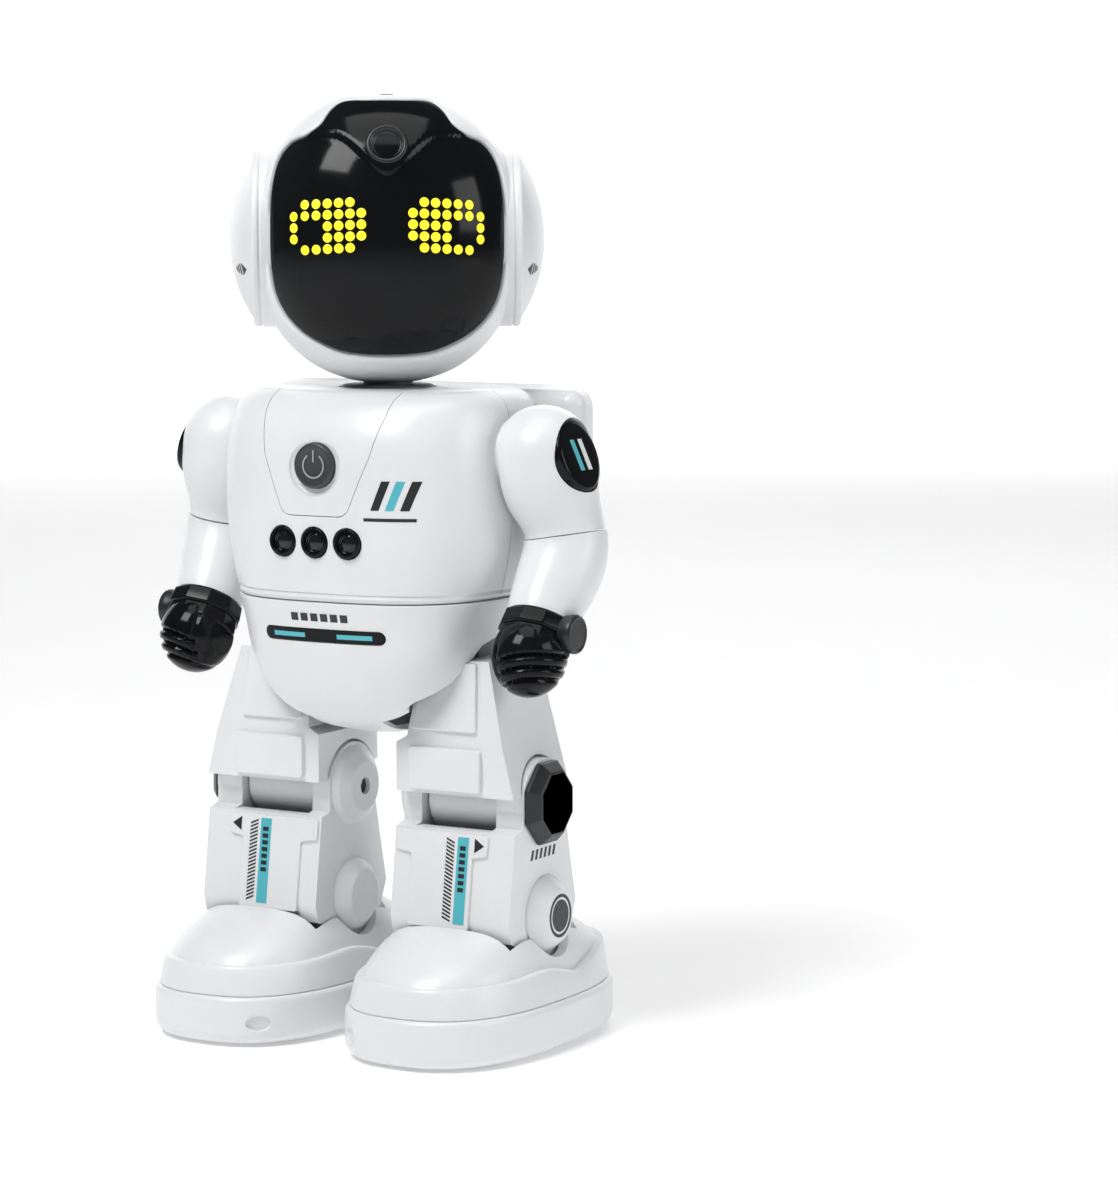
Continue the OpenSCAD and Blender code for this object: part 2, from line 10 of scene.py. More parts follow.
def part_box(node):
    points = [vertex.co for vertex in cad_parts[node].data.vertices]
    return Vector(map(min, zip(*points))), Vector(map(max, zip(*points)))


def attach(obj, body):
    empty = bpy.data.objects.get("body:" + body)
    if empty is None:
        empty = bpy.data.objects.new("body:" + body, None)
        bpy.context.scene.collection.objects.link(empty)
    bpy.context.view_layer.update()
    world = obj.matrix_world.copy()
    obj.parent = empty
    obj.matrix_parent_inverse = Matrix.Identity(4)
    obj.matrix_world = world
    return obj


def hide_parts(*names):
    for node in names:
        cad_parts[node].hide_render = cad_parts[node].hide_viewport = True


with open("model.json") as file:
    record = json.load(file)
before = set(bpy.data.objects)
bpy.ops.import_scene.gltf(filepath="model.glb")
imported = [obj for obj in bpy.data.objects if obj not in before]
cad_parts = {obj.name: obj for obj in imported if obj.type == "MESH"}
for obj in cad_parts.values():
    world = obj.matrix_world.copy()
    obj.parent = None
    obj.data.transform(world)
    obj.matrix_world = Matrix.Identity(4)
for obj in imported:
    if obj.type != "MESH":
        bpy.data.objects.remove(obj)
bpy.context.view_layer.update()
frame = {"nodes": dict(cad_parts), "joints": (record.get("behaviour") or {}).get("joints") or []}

# ---------------------------------------------------------------- camera

MM = 0.001
JOINTS = {joint["name"]: joint for joint in frame["joints"]}


def joint_at(name):
    """A joint's place at rest, in millimetres."""
    return Vector(JOINTS[name]["pos_m"]) / MM


BODY_Y = joint_at("head_turn").y
CAMERA_AZIMUTH = 32
CAMERA_DISTANCE = 1055
CAMERA_HEIGHT = 237
CAMERA_YAW = 2.61
CAMERA_PITCH = 6.18
CAMERA_LENS = 113.26


def make_camera():
    data = bpy.data.cameras.new("camera")
    data.lens = CAMERA_LENS
    data.sensor_width = 36
    data.clip_start = 0.05
    camera = bpy.data.objects.new("camera", data)
    turn = math.radians(CAMERA_AZIMUTH)
    camera.location = Vector((
        CAMERA_DISTANCE * math.sin(turn),
        BODY_Y - CAMERA_DISTANCE * math.cos(turn),
        CAMERA_HEIGHT,
    )) * MM
    camera.rotation_euler = (
        math.radians(90 - CAMERA_PITCH), 0, math.radians(CAMERA_AZIMUTH - CAMERA_YAW)
    )
    bpy.context.scene.collection.objects.link(camera)
    bpy.context.scene.camera = camera


make_camera()

# ---------------------------------------------------------------- materials


DRIFT_SCALE = 38
RELIEF_DEPTH = 0.02


def node_material(name, colour, shade, roughness, bump, grain, **shader):
    """A plastic whose colour, roughness and surface vary with fine noise.

    colour and shade are the two ends of the colour's drift, roughness is its lowest and highest
    value, bump is the strength of the surface grain and grain its size in millimetres."""
    material = bpy.data.materials.new(name)
    material.use_nodes = True
    nodes = material.node_tree.nodes
    links = material.node_tree.links

    def fill(node, values):
        for socket, value in values.items():
            node.inputs[socket.replace("_", " ")].default_value = value
        return node

    def add(kind, **values):
        return fill(nodes.new(f"ShaderNode{kind}"), values)

    bsdf = fill(nodes["Principled BSDF"], shader)
    place = add("TexCoord")
    drift = add("TexNoise", Scale=DRIFT_SCALE, Detail=4)
    fine = add("TexNoise", Scale=1 / (grain * MM), Detail=3)
    rough = add("MapRange", From_Min=0.3, From_Max=0.7, To_Min=roughness[0], To_Max=roughness[1])
    relief = add("Bump", Strength=bump, Distance=RELIEF_DEPTH * MM)
    ramp = add("ValToRGB")
    for element, position, tint in zip(ramp.color_ramp.elements, (0.32, 0.68), (shade, colour)):
        element.position = position
        element.color = (*tint, 1)
    for noise in (drift, fine):
        links.new(place.outputs["Object"], noise.inputs["Vector"])
    links.new(drift.outputs["Fac"], ramp.inputs["Fac"])
    links.new(ramp.outputs["Color"], bsdf.inputs["Base Color"])
    links.new(fine.outputs["Fac"], rough.inputs["Value"])
    links.new(rough.outputs["Result"], bsdf.inputs["Roughness"])
    links.new(fine.outputs["Fac"], relief.inputs["Height"])
    links.new(relief.outputs["Normal"], bsdf.inputs["Normal"])
    return material


# Colour, shade, lowest and highest roughness, bump and grain: the CAD slots first, then the prints
FINISHES = {
    "white_shell": ((0.83, 0.836, 0.846), (0.8, 0.807, 0.82), (0.26, 0.34), 0.25, 0.25),
    "black_gloss": ((0.007, 0.0075, 0.0085), (0.004, 0.0045, 0.0055), (0.09, 0.14), 0.1, 0.6),
    "lens": ((0.012, 0.013, 0.018), (0.006, 0.007, 0.01), (0.04, 0.08), 0.03, 0.8),
    "circuit_board": ((0.02, 0.17, 0.07), (0.01, 0.1, 0.04), (0.35, 0.5), 0.6, 0.5),
    "yellow_led": ((0.95, 0.84, 0.03), (0.93, 0.8, 0.02), (0.35, 0.45), 0.1, 0.3),
    "grey_plastic": ((0.17, 0.175, 0.18), (0.12, 0.124, 0.128), (0.38, 0.5), 0.5, 0.2),
    "black_plastic": ((0.02, 0.021, 0.023), (0.013, 0.014, 0.016), (0.3, 0.42), 0.3, 0.25),
    "battery_wrap": ((0.05, 0.17, 0.36), (0.03, 0.12, 0.28), (0.25, 0.4), 0.8, 1.2),
    "steel": ((0.62, 0.62, 0.64), (0.5, 0.5, 0.52), (0.22, 0.36), 0.5, 0.3),
    "rubber": ((0.055, 0.055, 0.058), (0.035, 0.035, 0.037), (0.65, 0.85), 0.9, 0.35),
    "teal_print": ((0.1, 0.52, 0.6), (0.08, 0.47, 0.55), (0.3, 0.4), 0.15, 0.3),
    "white_print": ((0.8, 0.86, 0.87), (0.75, 0.82, 0.84), (0.3, 0.42), 0.15, 0.3),
    "grey_print": ((0.4, 0.41, 0.42), (0.34, 0.35, 0.36), (0.35, 0.45), 0.15, 0.3),
    "button_grey": ((0.05, 0.052, 0.056), (0.038, 0.04, 0.044), (0.3, 0.42), 0.4, 0.2),
}
SHADERS = {
    "black_gloss": dict(Specular_IOR_Level=0.17),
    "yellow_led": dict(Emission_Color=(1.0, 0.86, 0.02, 1), Emission_Strength=0.45),
    "steel": dict(Metallic=1.0),
}
LOOKS = {name: node_material(name, *row, **SHADERS.get(name, {})) for name, row in FINISHES.items()}

# ---------------------------------------------------------------- mesh tools


def shape(name, points, faces):
    """A new object from points in millimetres, with doubled points merged and faces turned out."""
    mesh = bpy.data.meshes.new(name)
    mesh.from_pydata([Vector(p) * MM for p in points], [], faces)
    work = bmesh.new()
    work.from_mesh(mesh)
    bmesh.ops.remove_doubles(work, verts=work.verts, dist=1e-7)
    bmesh.ops.dissolve_degenerate(work, edges=work.edges, dist=1e-7)
    bmesh.ops.recalc_face_normals(work, faces=work.faces)
    work.to_mesh(mesh)
    work.free()
    obj = bpy.data.objects.new(name, mesh)
    bpy.context.scene.collection.objects.link(obj)
    return obj


def ring_faces(count, total, looped=False):
    """The faces between neighbouring rings of count points, out of total rings."""
    faces = []
    for k in range(total if looped else total - 1):
        a, b = k * count, (k + 1) % total * count
        faces += [(a + i, a + (i + 1) % count, b + (i + 1) % count, b + i) for i in range(count)]
    return faces


def loft(name, rings, looped=False):
    """A skin through equal rings of points, closed by end faces, or joined last to first."""
    count, total = len(rings[0]), len(rings)
    faces = ring_faces(count, total, looped)
    if not looped:
        faces += [tuple(range(count)), tuple(range((total - 1) * count, total * count))]
    return shape(name, [p for ring in rings for p in ring], faces)


def turned(name, profile, at=Matrix(), count=64, looped=False):
    """A round piece: a profile of (radius, height) turned about the Z axis of a place."""
    rings = [
        [at @ Vector((r * math.cos(t), r * math.sin(t), h))
         for t in (math.tau * i / count for i in range(count))]
        for r, h in profile
    ]
    return loft(name, rings, looped)


PLACE = {
    "x": lambda u, v, w: (w, u, v),
    "y": lambda u, v, w: (u, w, v),
    "z": lambda u, v, w: (u, v, w),
}


def prism(name, outline, low, high, axis):
    """An outline extruded along an axis: in Y and Z along x, in X and Z along y, in X and Y along z."""
    place = PLACE[axis]
    return loft(name, [[place(u, v, w) for u, v in outline] for w in (low, high)])


def rect(u0, v0, u1, v1):
    """The four corners of an upright rectangle."""
    return [(u0, v0), (u1, v0), (u1, v1), (u0, v1)]


def block(name, low, high):
    """A box-shaped tool between two corners."""
    return prism(name, rect(*low[:2], *high[:2]), low[2], high[2], "z")


def settle(obj):
    """Turns an object's modifiers into its mesh."""
    graph = bpy.context.evaluated_depsgraph_get()
    mesh = bpy.data.meshes.new_from_object(obj.evaluated_get(graph))
    obj.modifiers.clear()
    old = obj.data
    obj.data = mesh
    bpy.data.meshes.remove(old)


def combine(obj, *tools, operation="DIFFERENCE"):
    """Cuts, joins or intersects an object with tools, which are used up."""
    for tool in tools:
        step = obj.modifiers.new("combine", "BOOLEAN")
        step.operation = operation
        step.solver = "EXACT"
        step.object = tool
        settle(obj)
        bpy.data.objects.remove(tool)
    return obj


def merge(obj, *others):
    """Adds other objects' meshes to an object as they are."""
    work = bmesh.new()
    for part in (obj, *others):
        work.from_mesh(part.data)
    work.to_mesh(obj.data)
    work.free()
    for part in others:
        bpy.data.objects.remove(part)
    return obj


def slice_off(obj, point, normal):
    """Cuts an object flat at a plane in millimetres and drops what lies on the normal's side."""
    work = bmesh.new()
    work.from_mesh(obj.data)
    cut = bmesh.ops.bisect_plane(
        work, geom=[*work.verts, *work.edges, *work.faces], plane_co=Vector(point) * MM,
        plane_no=Vector(normal), clear_outer=True)
    edges = [e for e in cut["geom_cut"] if isinstance(e, bmesh.types.BMEdge)]
    bmesh.ops.edgeloop_fill(work, edges=edges)
    bmesh.ops.recalc_face_normals(work, faces=work.faces)
    work.to_mesh(obj.data)
    work.free()
    return obj


def keep_normals(obj):
    """Weighs the shading by face size, so that flat faces shade flat."""
    obj.modifiers.new("normals", "WEIGHTED_NORMAL").keep_sharp = True


def smooth(obj, angle=38):
    """Smooth shading, broken at edges sharper than the angle."""
    obj.data.shade_smooth()
    obj.data.set_sharp_from_angle(angle=math.radians(angle))
    keep_normals(obj)
    return obj


def soften(obj, width, segments=3, angle=32):
    """Rounds an object's edges and shades it smooth."""
    bevel = obj.modifiers.new("bevel", "BEVEL")
    bevel.width = width * MM
    bevel.segments = segments
    bevel.limit_method = "ANGLE"
    bevel.angle_limit = math.radians(angle)
    bevel.miter_outer = "MITER_ARC"
    settle(obj)
    return smooth(obj)


def joined(name, parts, angle=38):
    """Several parts as one smooth-shaded piece."""
    obj = merge(*parts)
    obj.name = name
    return smooth(obj, angle)


def thicken(obj, depth):
    """Gives an open skin a thickness, inwards from its outer face."""
    solid = obj.modifiers.new("solid", "SOLIDIFY")
    solid.thickness = depth * MM
    solid.offset = -1
    settle(obj)
    return obj


def mirrored(obj, name):
    """The mirror image of an object, for the robot's right side."""
    twin = bpy.data.objects.new(name, obj.data.copy())
    bpy.context.scene.collection.objects.link(twin)
    twin.data.transform(Matrix.Diagonal((-1, 1, 1, 1)))
    twin.data.flip_normals()
    keep_normals(twin)
    return twin


def put(obj, body, slot, *nodes, look=None):
    """Gives a piece its slot's material and the body it rides on, and hides the CAD nodes it replaces.

    look names another material than the slot's own."""
    obj.data.materials.clear()
    obj.data.materials.append(LOOKS[look or slot])
    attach(obj, body)
    if nodes:
        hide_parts(*nodes)


def pair(name, make, body, slot, *nodes, look=None):
    """Makes the left piece and its mirror image, each on its own side's body."""
    left = make(f"left_{name}")
    right = mirrored(left, f"right_{name}")
    for side, obj in (("left", left), ("right", right)):
        target = body if body == "torso" else f"{side}_{body}"
        put(obj, target, slot, *[f"{side}_{node}" for node in nodes], look=look)


def power(value, exponent):
    """A signed power, used by the superellipse."""
    return math.copysign(abs(value) ** exponent, value)


def spline(table, key):
    """The row of a table at a key: smooth curves through its columns."""
    last = len(table) - 1
    key = min(max(key, table[0][0]), table[last][0])
    k = max(i for i in range(last) if table[i][0] <= key)

    def slope(i, column):
        low, high = max(i - 1, 0), min(i + 1, last)
        return (table[high][column] - table[low][column]) / (table[high][0] - table[low][0])

    span = table[k + 1][0] - table[k][0]
    t = (key - table[k][0]) / span
    row = []
    for column in range(1, len(table[0])):
        p, q = table[k][column], table[k + 1][column]
        m, n = slope(k, column) * span, slope(k + 1, column) * span
        row.append((2 * t**3 - 3 * t**2 + 1) * p + (t**3 - 2 * t**2 + t) * m
                   + (3 * t**2 - 2 * t**3) * q + (t**3 - t**2) * n)
    return row


def curve(points, steps, closed=False):
    """A smooth line through points: Catmull-Rom, with the given steps between neighbours."""
    points = [Vector(p) for p in points]
    count = len(points)
    line = []
    for i in range(count if closed else count - 1):
        if closed:
            a, b, c, d = (points[(i + k) % count] for k in (-1, 0, 1, 2))
        else:
            a, b, c, d = (points[min(max(i + k, 0), count - 1)] for k in (-1, 0, 1, 2))
        for s in range(steps):
            t = s / steps
            line.append(0.5 * (2 * b + (c - a) * t + (2 * a - 5 * b + 4 * c - d) * t**2
                               + (3 * b - a - 3 * c + d) * t**3))
    if not closed:
        line.append(points[-1])
    return line


def arc(centre, radius, start, end, steps):
    """Points along an arc, in degrees."""
    return [
        (centre[0] + radius * math.cos(t), centre[1] + radius * math.sin(t))
        for t in (math.radians(start + (end - start) * i / steps) for i in range(steps + 1))
    ]


def place(origin, x_turn=0, y_turn=0, z_turn=0):
    """A place whose own axes are turned about X, then Y, then Z, in degrees."""
    matrix = Matrix.Translation(origin)
    for angle, axis in ((z_turn, "Z"), (y_turn, "Y"), (x_turn, "X")):
        matrix = matrix @ Matrix.Rotation(math.radians(angle), 4, axis)
    return matrix


def across(joint, side=1):
    """A place on the robot's middle plane at a joint's height, whose Z axis points to one side."""
    return place((0, joint.y, joint.z), y_turn=90 * side)


def patch(name, corners, surface, thick=0.12, steps=6):
    """A thin printed or inlaid shape: four corners filled across a surface function (u, v, lift)."""
    a, b, c, d = (Vector((*corner, 0)) for corner in corners)
    sheets = []
    for lift in (-thick, thick):
        sheets.append([
            surface(*(a.lerp(b, i / steps).lerp(d.lerp(c, i / steps), j / steps)).xy, lift)
            for j in range(steps + 1) for i in range(steps + 1)
        ])
    side = steps + 1
    lower = [
        (j * side + i, j * side + i + 1, (j + 1) * side + i + 1, (j + 1) * side + i)
        for j in range(steps) for i in range(steps)
    ]
    shift = side * side
    faces = lower + [tuple(n + shift for n in face) for face in lower]
    rim = (
        [i for i in range(side)] + [j * side + steps for j in range(1, side)]
        + [steps * side + i for i in range(steps - 1, -1, -1)]
        + [j * side for j in range(steps - 1, 0, -1)]
    )
    for p, q in zip(rim, rim[1:] + rim[:1]):
        faces.append((p, q, q + shift, p + shift))
    return smooth(shape(name, sheets[0] + sheets[1], faces))


# ---------------------------------------------------------------- head

HEAD_TURN = 32
HEAD_A, HEAD_B, HEAD_C = 37.4, 35.0, 40.8
HEAD_Z = 224.0
HEAD_POWER = 2.25
HEAD_AT = place((0, BODY_Y, 0), z_turn=HEAD_TURN)
VISOR_POINTS = 176


def head_reach(x, z):
    """How far (x, z - HEAD_Z) lies out towards the head's widest outline, from 0 to 1."""
    return (abs(x / HEAD_A) ** HEAD_POWER + abs((z - HEAD_Z) / HEAD_C) ** HEAD_POWER) ** (1 / HEAD_POWER)


def head_normal(*point):
    """The way out of the head at a point given from its centre."""
    return Vector([
        power(p / half, HEAD_POWER - 1) / half for p, half in zip(point, (HEAD_A, HEAD_B, HEAD_C))
    ]).normalized()


def head_front(x, z, lift=0.0):
    """The head's front surface in the head's own frame, raised along its normal."""
    reach = min(head_reach(x, z), 1)
    y = -HEAD_B * (1 - reach**HEAD_POWER) ** (1 / HEAD_POWER)
    return Vector((x, y, z)) + head_normal(x, y, z - HEAD_Z) * lift


def head_point(theta, phi, lift=0.0):
    """The head's surface at an angle round the Y axis and an angle back from the face."""
    c, s = math.cos(theta), math.sin(theta)
    radius = (abs(c / HEAD_A) ** HEAD_POWER + abs(s / HEAD_C) ** HEAD_POWER) ** (-1 / HEAD_POWER)
    k = (abs(math.sin(phi)) ** HEAD_POWER + abs(math.cos(phi)) ** HEAD_POWER) ** (-1 / HEAD_POWER)
    out = math.sin(phi) * k
    x, y, z = out * radius * c, -HEAD_B * math.cos(phi) * k, out * radius * s
    return Vector((x, y, z + HEAD_Z)) + head_normal(x, y, z) * lift


def visor_outline():
    """The face window seen from the front: rounded, with shoulders below a forehead bump."""
    right = [
        (0, 191.6), (7, 191.9), (13.6, 193), (21.6, 196.7), (27.2, 201.6), (30.6, 207.6), (32.2, 216),
        (32.5, 225), (32.1, 236), (30.2, 244.8), (26.4, 249.9), (21.6, 251.9), (17.9, 254.5),
        (15, 258.6), (11.4, 260.9), (5, 261.1), (0, 261.15),
    ]
    left = [(-x, z) for x, z in reversed(right[1:-1])]
    dense = curve([(x, z, 0) for x, z in right + left], 24, closed=True)
    lengths = [0]
    for a, b in zip(dense, dense[1:] + dense[:1]):
        lengths.append(lengths[-1] + (b - a).length)
    points = []
    k = 0
    for i in range(VISOR_POINTS):
        target = lengths[-1] * i / VISOR_POINTS
        while lengths[k + 1] < target:
            k += 1
        t = (target - lengths[k]) / (lengths[k + 1] - lengths[k])
        points.append(dense[k].lerp(dense[(k + 1) % len(dense)], t))
    return [(p.x, p.y) for p in points]


OUTLINE = visor_outline()
# The raised lip round the face window: distance out from the window's edge, and height
LIP = [(0.3, -1.6), (0.3, -0.5), (0.35, 0.1), (0.6, 0.45), (1.1, 0.62), (1.7, 0.66)]
LIP_FALL = [(0.0, 0.62), (0.4, 0.45), (0.75, 0.15), (1.1, 0.02), (1.7, 0.0)]


def head_front_shell():
    """The front half: the lip round the face, then the shell back to the seam."""
    rows = [[] for _ in range(len(LIP) + len(LIP_FALL) + 22)]
    for x, z in OUTLINE:
        theta = math.atan2(z - HEAD_Z, x)
        reach = head_reach(x, z)
        phi = math.atan2(reach, (1 - reach**HEAD_POWER) ** (1 / HEAD_POWER))
        scale = math.hypot(head_point(theta, phi).y, math.hypot(x, z - HEAD_Z))
        side = abs(math.cos(theta))
        flat = 1.0 + 1.5 * side**2
        steps = [(d, h) for d, h in LIP] + [(LIP[-1][0] + flat + d, h) for d, h in LIP_FALL]
        for row, (distance, height) in enumerate(steps):
            rows[row].append(head_point(theta, phi + distance / scale, height))
        start = phi + steps[-1][0] / scale
        for j in range(22):
            t = (j + 1) / 22
            rows[len(steps) + j].append(head_point(theta, start + (math.pi / 2 - start) * t))
    points = [HEAD_AT @ p for row in rows for p in row]
    return head_skin("face_shell", points, ring_faces(len(OUTLINE), len(rows)), 1.4)


def head_skin(name, points, faces, depth, angle=50):
    """An open skin round the head's middle, faced outwards and given a depth inwards."""
    obj = shape(name, points, faces)
    centre = HEAD_AT @ Vector((0, 0, HEAD_Z)) * MM
    if sum(face.normal.dot(face.center - centre) * face.area for face in obj.data.polygons) < 0:
        obj.data.flip_normals()
    return smooth(thicken(obj, depth), angle)


def head_rear_shell():
    count, steps = 128, 30
    seam = 0.35
    rows = []
    for k in range(steps + 1):
        phi = math.pi / 2 + seam / HEAD_B + (math.pi / 2 - seam / HEAD_B) * k / steps
        rows.append([HEAD_AT @ head_point(math.tau * i / count, phi) for i in range(count)])
    return head_skin("skull_shell", [p for row in rows for p in row], ring_faces(count, len(rows)), 1.8)


def brow(x):
    """Height of the lower edge of the forehead: a shallow V below the projector."""
    return 241.2 + 10.4 * math.sin(math.pi / 2 * min(abs(x) / 15, 1)) ** 1.6


def visor():
    """The glossy face, with the forehead raised above a V-shaped edge."""
    centre = Vector((0, 226))
    shares = [k / 58 for k in range(1, 58)] + [0.988, 0.994, 1.0]
    rows = []
    for q in shares:
        ring = []
        for x, z in OUTLINE:
            u, v = centre.x + q * (x - centre.x), centre.y + q * (z - centre.y)
            rise = min(max((v - brow(u)) / 1.5 + 0.5, 0), 1)
            lift = 0.95 * rise * rise * (3 - 2 * rise)
            edge = max((q - 0.983) / 0.017, 0)
            ring.append(HEAD_AT @ head_front(u, v, lift * (1 - edge**2) - 0.9 * edge**3))
        rows.append(ring)
    count = len(OUTLINE)
    points = [p for row in rows for p in row] + [HEAD_AT @ head_front(centre.x, centre.y)]
    faces = ring_faces(count, len(rows)) + [(i, (i + 1) % count, len(points) - 1) for i in range(count)]
    return head_skin("face_visor", points, faces, 1.5, 60)


EYE_X, EYE_Z, EYE_PITCH = 16.2, 227.2, 3.07
EYE_SLOPE = 0.06
# Lit columns of an eye's five rows, counted from the temple to the nose
EYE_ROWS = ((1, 2, 3, 4, 5), (0, 1, 2, 3, 4, 5, 6), (0, 3, 4, 5, 6), (0, 3, 4, 5, 6), (1, 2, 3, 4, 5))


def eye_dots():
    """Small lit domes that stand just proud of the face window, in two mirrored patterns."""
    dots = []
    for side in (-1, 1):
        for row, columns in enumerate(EYE_ROWS):
            for column in columns:
                along = (column - 3) * EYE_PITCH
                x = side * (EYE_X - along)
                z = EYE_Z + (2 - row) * EYE_PITCH + along * EYE_SLOPE
                seat = head_front(x, z)
                out = (head_front(x, z, 1) - seat).normalized()
                turn = out.to_track_quat("Z", "Y").to_matrix().to_4x4()
                at = HEAD_AT @ Matrix.Translation(seat) @ turn
                profile = [(1.32, -0.4), (1.32, 0.06), (1.15, 0.16), (0.62, 0.22), (0, 0.24)]
                dots.append(turned("dot", profile, at, 20))
    return joined("eye_dots", dots)


LENS_Z, LENS_TILT = 249.3, 24
LENS_AT = HEAD_AT @ place((0, -30.1, LENS_Z), x_turn=90 - LENS_TILT)


def lens_ring():
    profile = [
        (2.6, -3), (5.3, -3), (5.75, -2), (5.75, 0.2), (5.5, 0.55), (5.0, 0.7), (4.55, 0.55),
        (4.3, 0.15), (4.15, 0.1), (3.9, 0.25), (3.5, 0.1), (3.1, -0.5), (2.75, -0.9), (2.6, -1.4),
    ]
    return smooth(turned("projector_ring", profile, LENS_AT, 72, looped=True), 45)


def lens_glass():
    profile = [(2.65, -2.4), (2.65, -1.1), (2.3, -0.75), (1.6, -0.45), (0.8, -0.3), (0, -0.25)]
    return smooth(turned("projector_glass", profile, LENS_AT, 56), 50)


EAR_Y, EAR_Z, EAR_R = 5.0, 223.5, 24.8
DOME_R, DOME_APEX = 41.0, 44.3


def ear_place(side):
    """A place at an ear's centre, whose Z axis points out of the head."""
    return HEAD_AT @ place((0, EAR_Y, EAR_Z), y_turn=90 * side)


def ear_rims():
    """The round bands that the ear covers sit on, each with a fine groove near its edge."""
    profile = [
        (EAR_R - 2.2, 21), (EAR_R, 21), (EAR_R, 34.6), (EAR_R - 0.12, 34.9), (EAR_R - 0.45, 35.05),
        (EAR_R - 0.45, 35.35), (EAR_R - 0.1, 35.5), (EAR_R, 35.8), (EAR_R, 36.7), (EAR_R - 0.25, 37.2),
        (EAR_R - 0.8, 37.45), (EAR_R - 1.5, 37.4), (EAR_R - 1.6, 36.6), (EAR_R - 2.2, 36.6),
    ]
    rims = [turned(f"ear_band_{side}", profile, ear_place(side), 128, looped=True) for side in (1, -1)]
    return joined("ear_bands", rims, 50)


def dome_height(radius):
    return DOME_APEX - DOME_R + math.sqrt(DOME_R**2 - radius**2)


def ear_covers():
    """The shallow domes over the ears."""
    edge = EAR_R - 1.7
    steps = 22
    profile = [(edge - 1.2, 36.2), (edge - 0.1, 36.2), (edge - 0.1, dome_height(edge) - 0.3)]
    profile += [(edge * (1 - k / steps), dome_height(edge * (1 - k / steps))) for k in range(steps + 1)]
    domes = [turned(f"ear_cover_{side}", profile, ear_place(side), 128) for side in (1, -1)]
    return joined("ear_covers", domes, 50)


def ear_surface(side):
    """The surface of an ear's dome: u towards the face, v up."""
    def surface(u, v, lift):
        height = dome_height(math.hypot(u, v)) + lift
        return HEAD_AT @ Vector((side * height, EAR_Y - u, EAR_Z + v))
    return surface


def ear_marks():
    """A small arrow that points to the face, and three bars behind it."""
    marks = []
    for side in (1, -1):
        surface = ear_surface(side)
        head = [(18.8, -8.3), (16.2, -6.6), (16.2, -8.3), (16.2, -10)]
        marks.append(patch("mark", head, surface, 0.08, 4))
        for k, length in enumerate((3.0, 2.2, 1.3)):
            u = 15.4 - 1.5 * k
            bar = rect(u, -8.3 - length / 2, u - 0.8, -8.3 + length / 2)
            marks.append(patch("mark", bar, surface, 0.08, 3))
    return joined("ear_arrows", marks)


# Angle back from the face to the slot on top of the head
CROWN_ANGLE = 1.22


def painted_crown_slot_shade():
    """A small slot on top of the head, just behind the face, drawn as a flat dark grey patch: painted shade in
    place of the slot's hollow.
    """
    def crown(u, v, lift):
        return HEAD_AT @ head_point(math.pi / 2 - u / HEAD_C, CROWN_ANGLE + v / HEAD_C, lift)
    return patch("painted_crown_slot_shade", rect(-1.8, 0, 1.8, 0.9), crown, 0.05, 3)


def make_head():
    put(head_front_shell(), "head", "white_shell", "head_front_shell")
    put(head_rear_shell(), "head", "white_shell", "head_rear_shell")
    put(visor(), "head", "black_gloss", "visor")
    put(eye_dots(), "head", "yellow_led", "eye_leds")
    put(lens_ring(), "head", "black_gloss", "lens_ring", look="black_plastic")
    put(lens_glass(), "head", "lens", "projector_lens")
    put(ear_rims(), "head", "white_shell", "ear_rims")
    put(ear_covers(), "head", "white_shell", "ear_domes")
    put(ear_marks(), "head", "black_plastic")
    # The crown slot: a dark grey patch of painted shade
    put(painted_crown_slot_shade(), "head", "grey_plastic")


make_head()

# ---------------------------------------------------------------- torso

TORSO_POWER = 2.8
WALL = 2.0
WAIST_Z = 124.5
SPLIT_Y = -1.0
# Height, half width, front depth and rear depth of the torso
TORSO = [
    (85.6, 8, 10, 8), (88, 16, 19, 14), (92, 24, 26, 20), (97, 30, 30, 24), (108, 35.5, 33.6, 28),
    (118, 37.4, 35.4, 30), (125, 38.9, 36.9, 31), (140, 41.9, 38.4, 32), (155, 43, 38.6, 32.4),
    (168, 42.6, 37.4, 32), (176, 41.4, 34, 31), (180, 39.6, 30.4, 29), (182.2, 36, 26.2, 26),
]
TORSO_COUNT = 112
WAIST_BAND = 2.2
WAIST_STEP = 0.5


def superellipse(width, front, rear, exponent, count):
    """One ring of points in X and Y, evenly turned, with its own front and rear depths."""
    ring = []
    for i in range(count):
        t = math.tau * i / count
        c, s = math.cos(t), math.sin(t)
        depth = front if s < 0 else rear
        r = (abs(c / width) ** exponent + abs(s / depth) ** exponent) ** (-1 / exponent)
        ring.append((r * c, r * s))
    return ring


def torso_ring(z, inset):
    width, front, rear = spline(TORSO, z)
    return [
        (x, y + BODY_Y, z) for x, y in
        superellipse(width - inset, front - inset, rear - inset, TORSO_POWER, TORSO_COUNT)
    ]


def torso_front(x, z, lift=0.0):
    """The torso's front surface, in the robot's frame."""
    width, front, _ = spline(TORSO, z)
    share = min(abs(x) / width, 0.999)
    y = -front * (1 - share**TORSO_POWER) ** (1 / TORSO_POWER)
    return Vector((x, y + BODY_Y - lift, z))


def torso_rear(x, z):
    """The torso's rear surface, in the robot's frame."""
    width, _, rear = spline(TORSO, z)
    share = min(abs(x) / width, 0.999)
    y = rear * (1 - share**TORSO_POWER) ** (1 / TORSO_POWER)
    return Vector((x, y + BODY_Y, z))


def torso_form(name, inset, low, high, rows, steps=()):
    """A solid stretch of the torso. steps lists extra rings of (height, further inset)."""
    heights = [(low + (high - low) * k / rows, 0) for k in range(rows + 1)]
    kept = [h for h in heights if all(abs(h[0] - s[0]) > 0.4 for s in steps)]
    return loft(name, [torso_ring(z, inset + extra) for z, extra in sorted([*kept, *steps])])


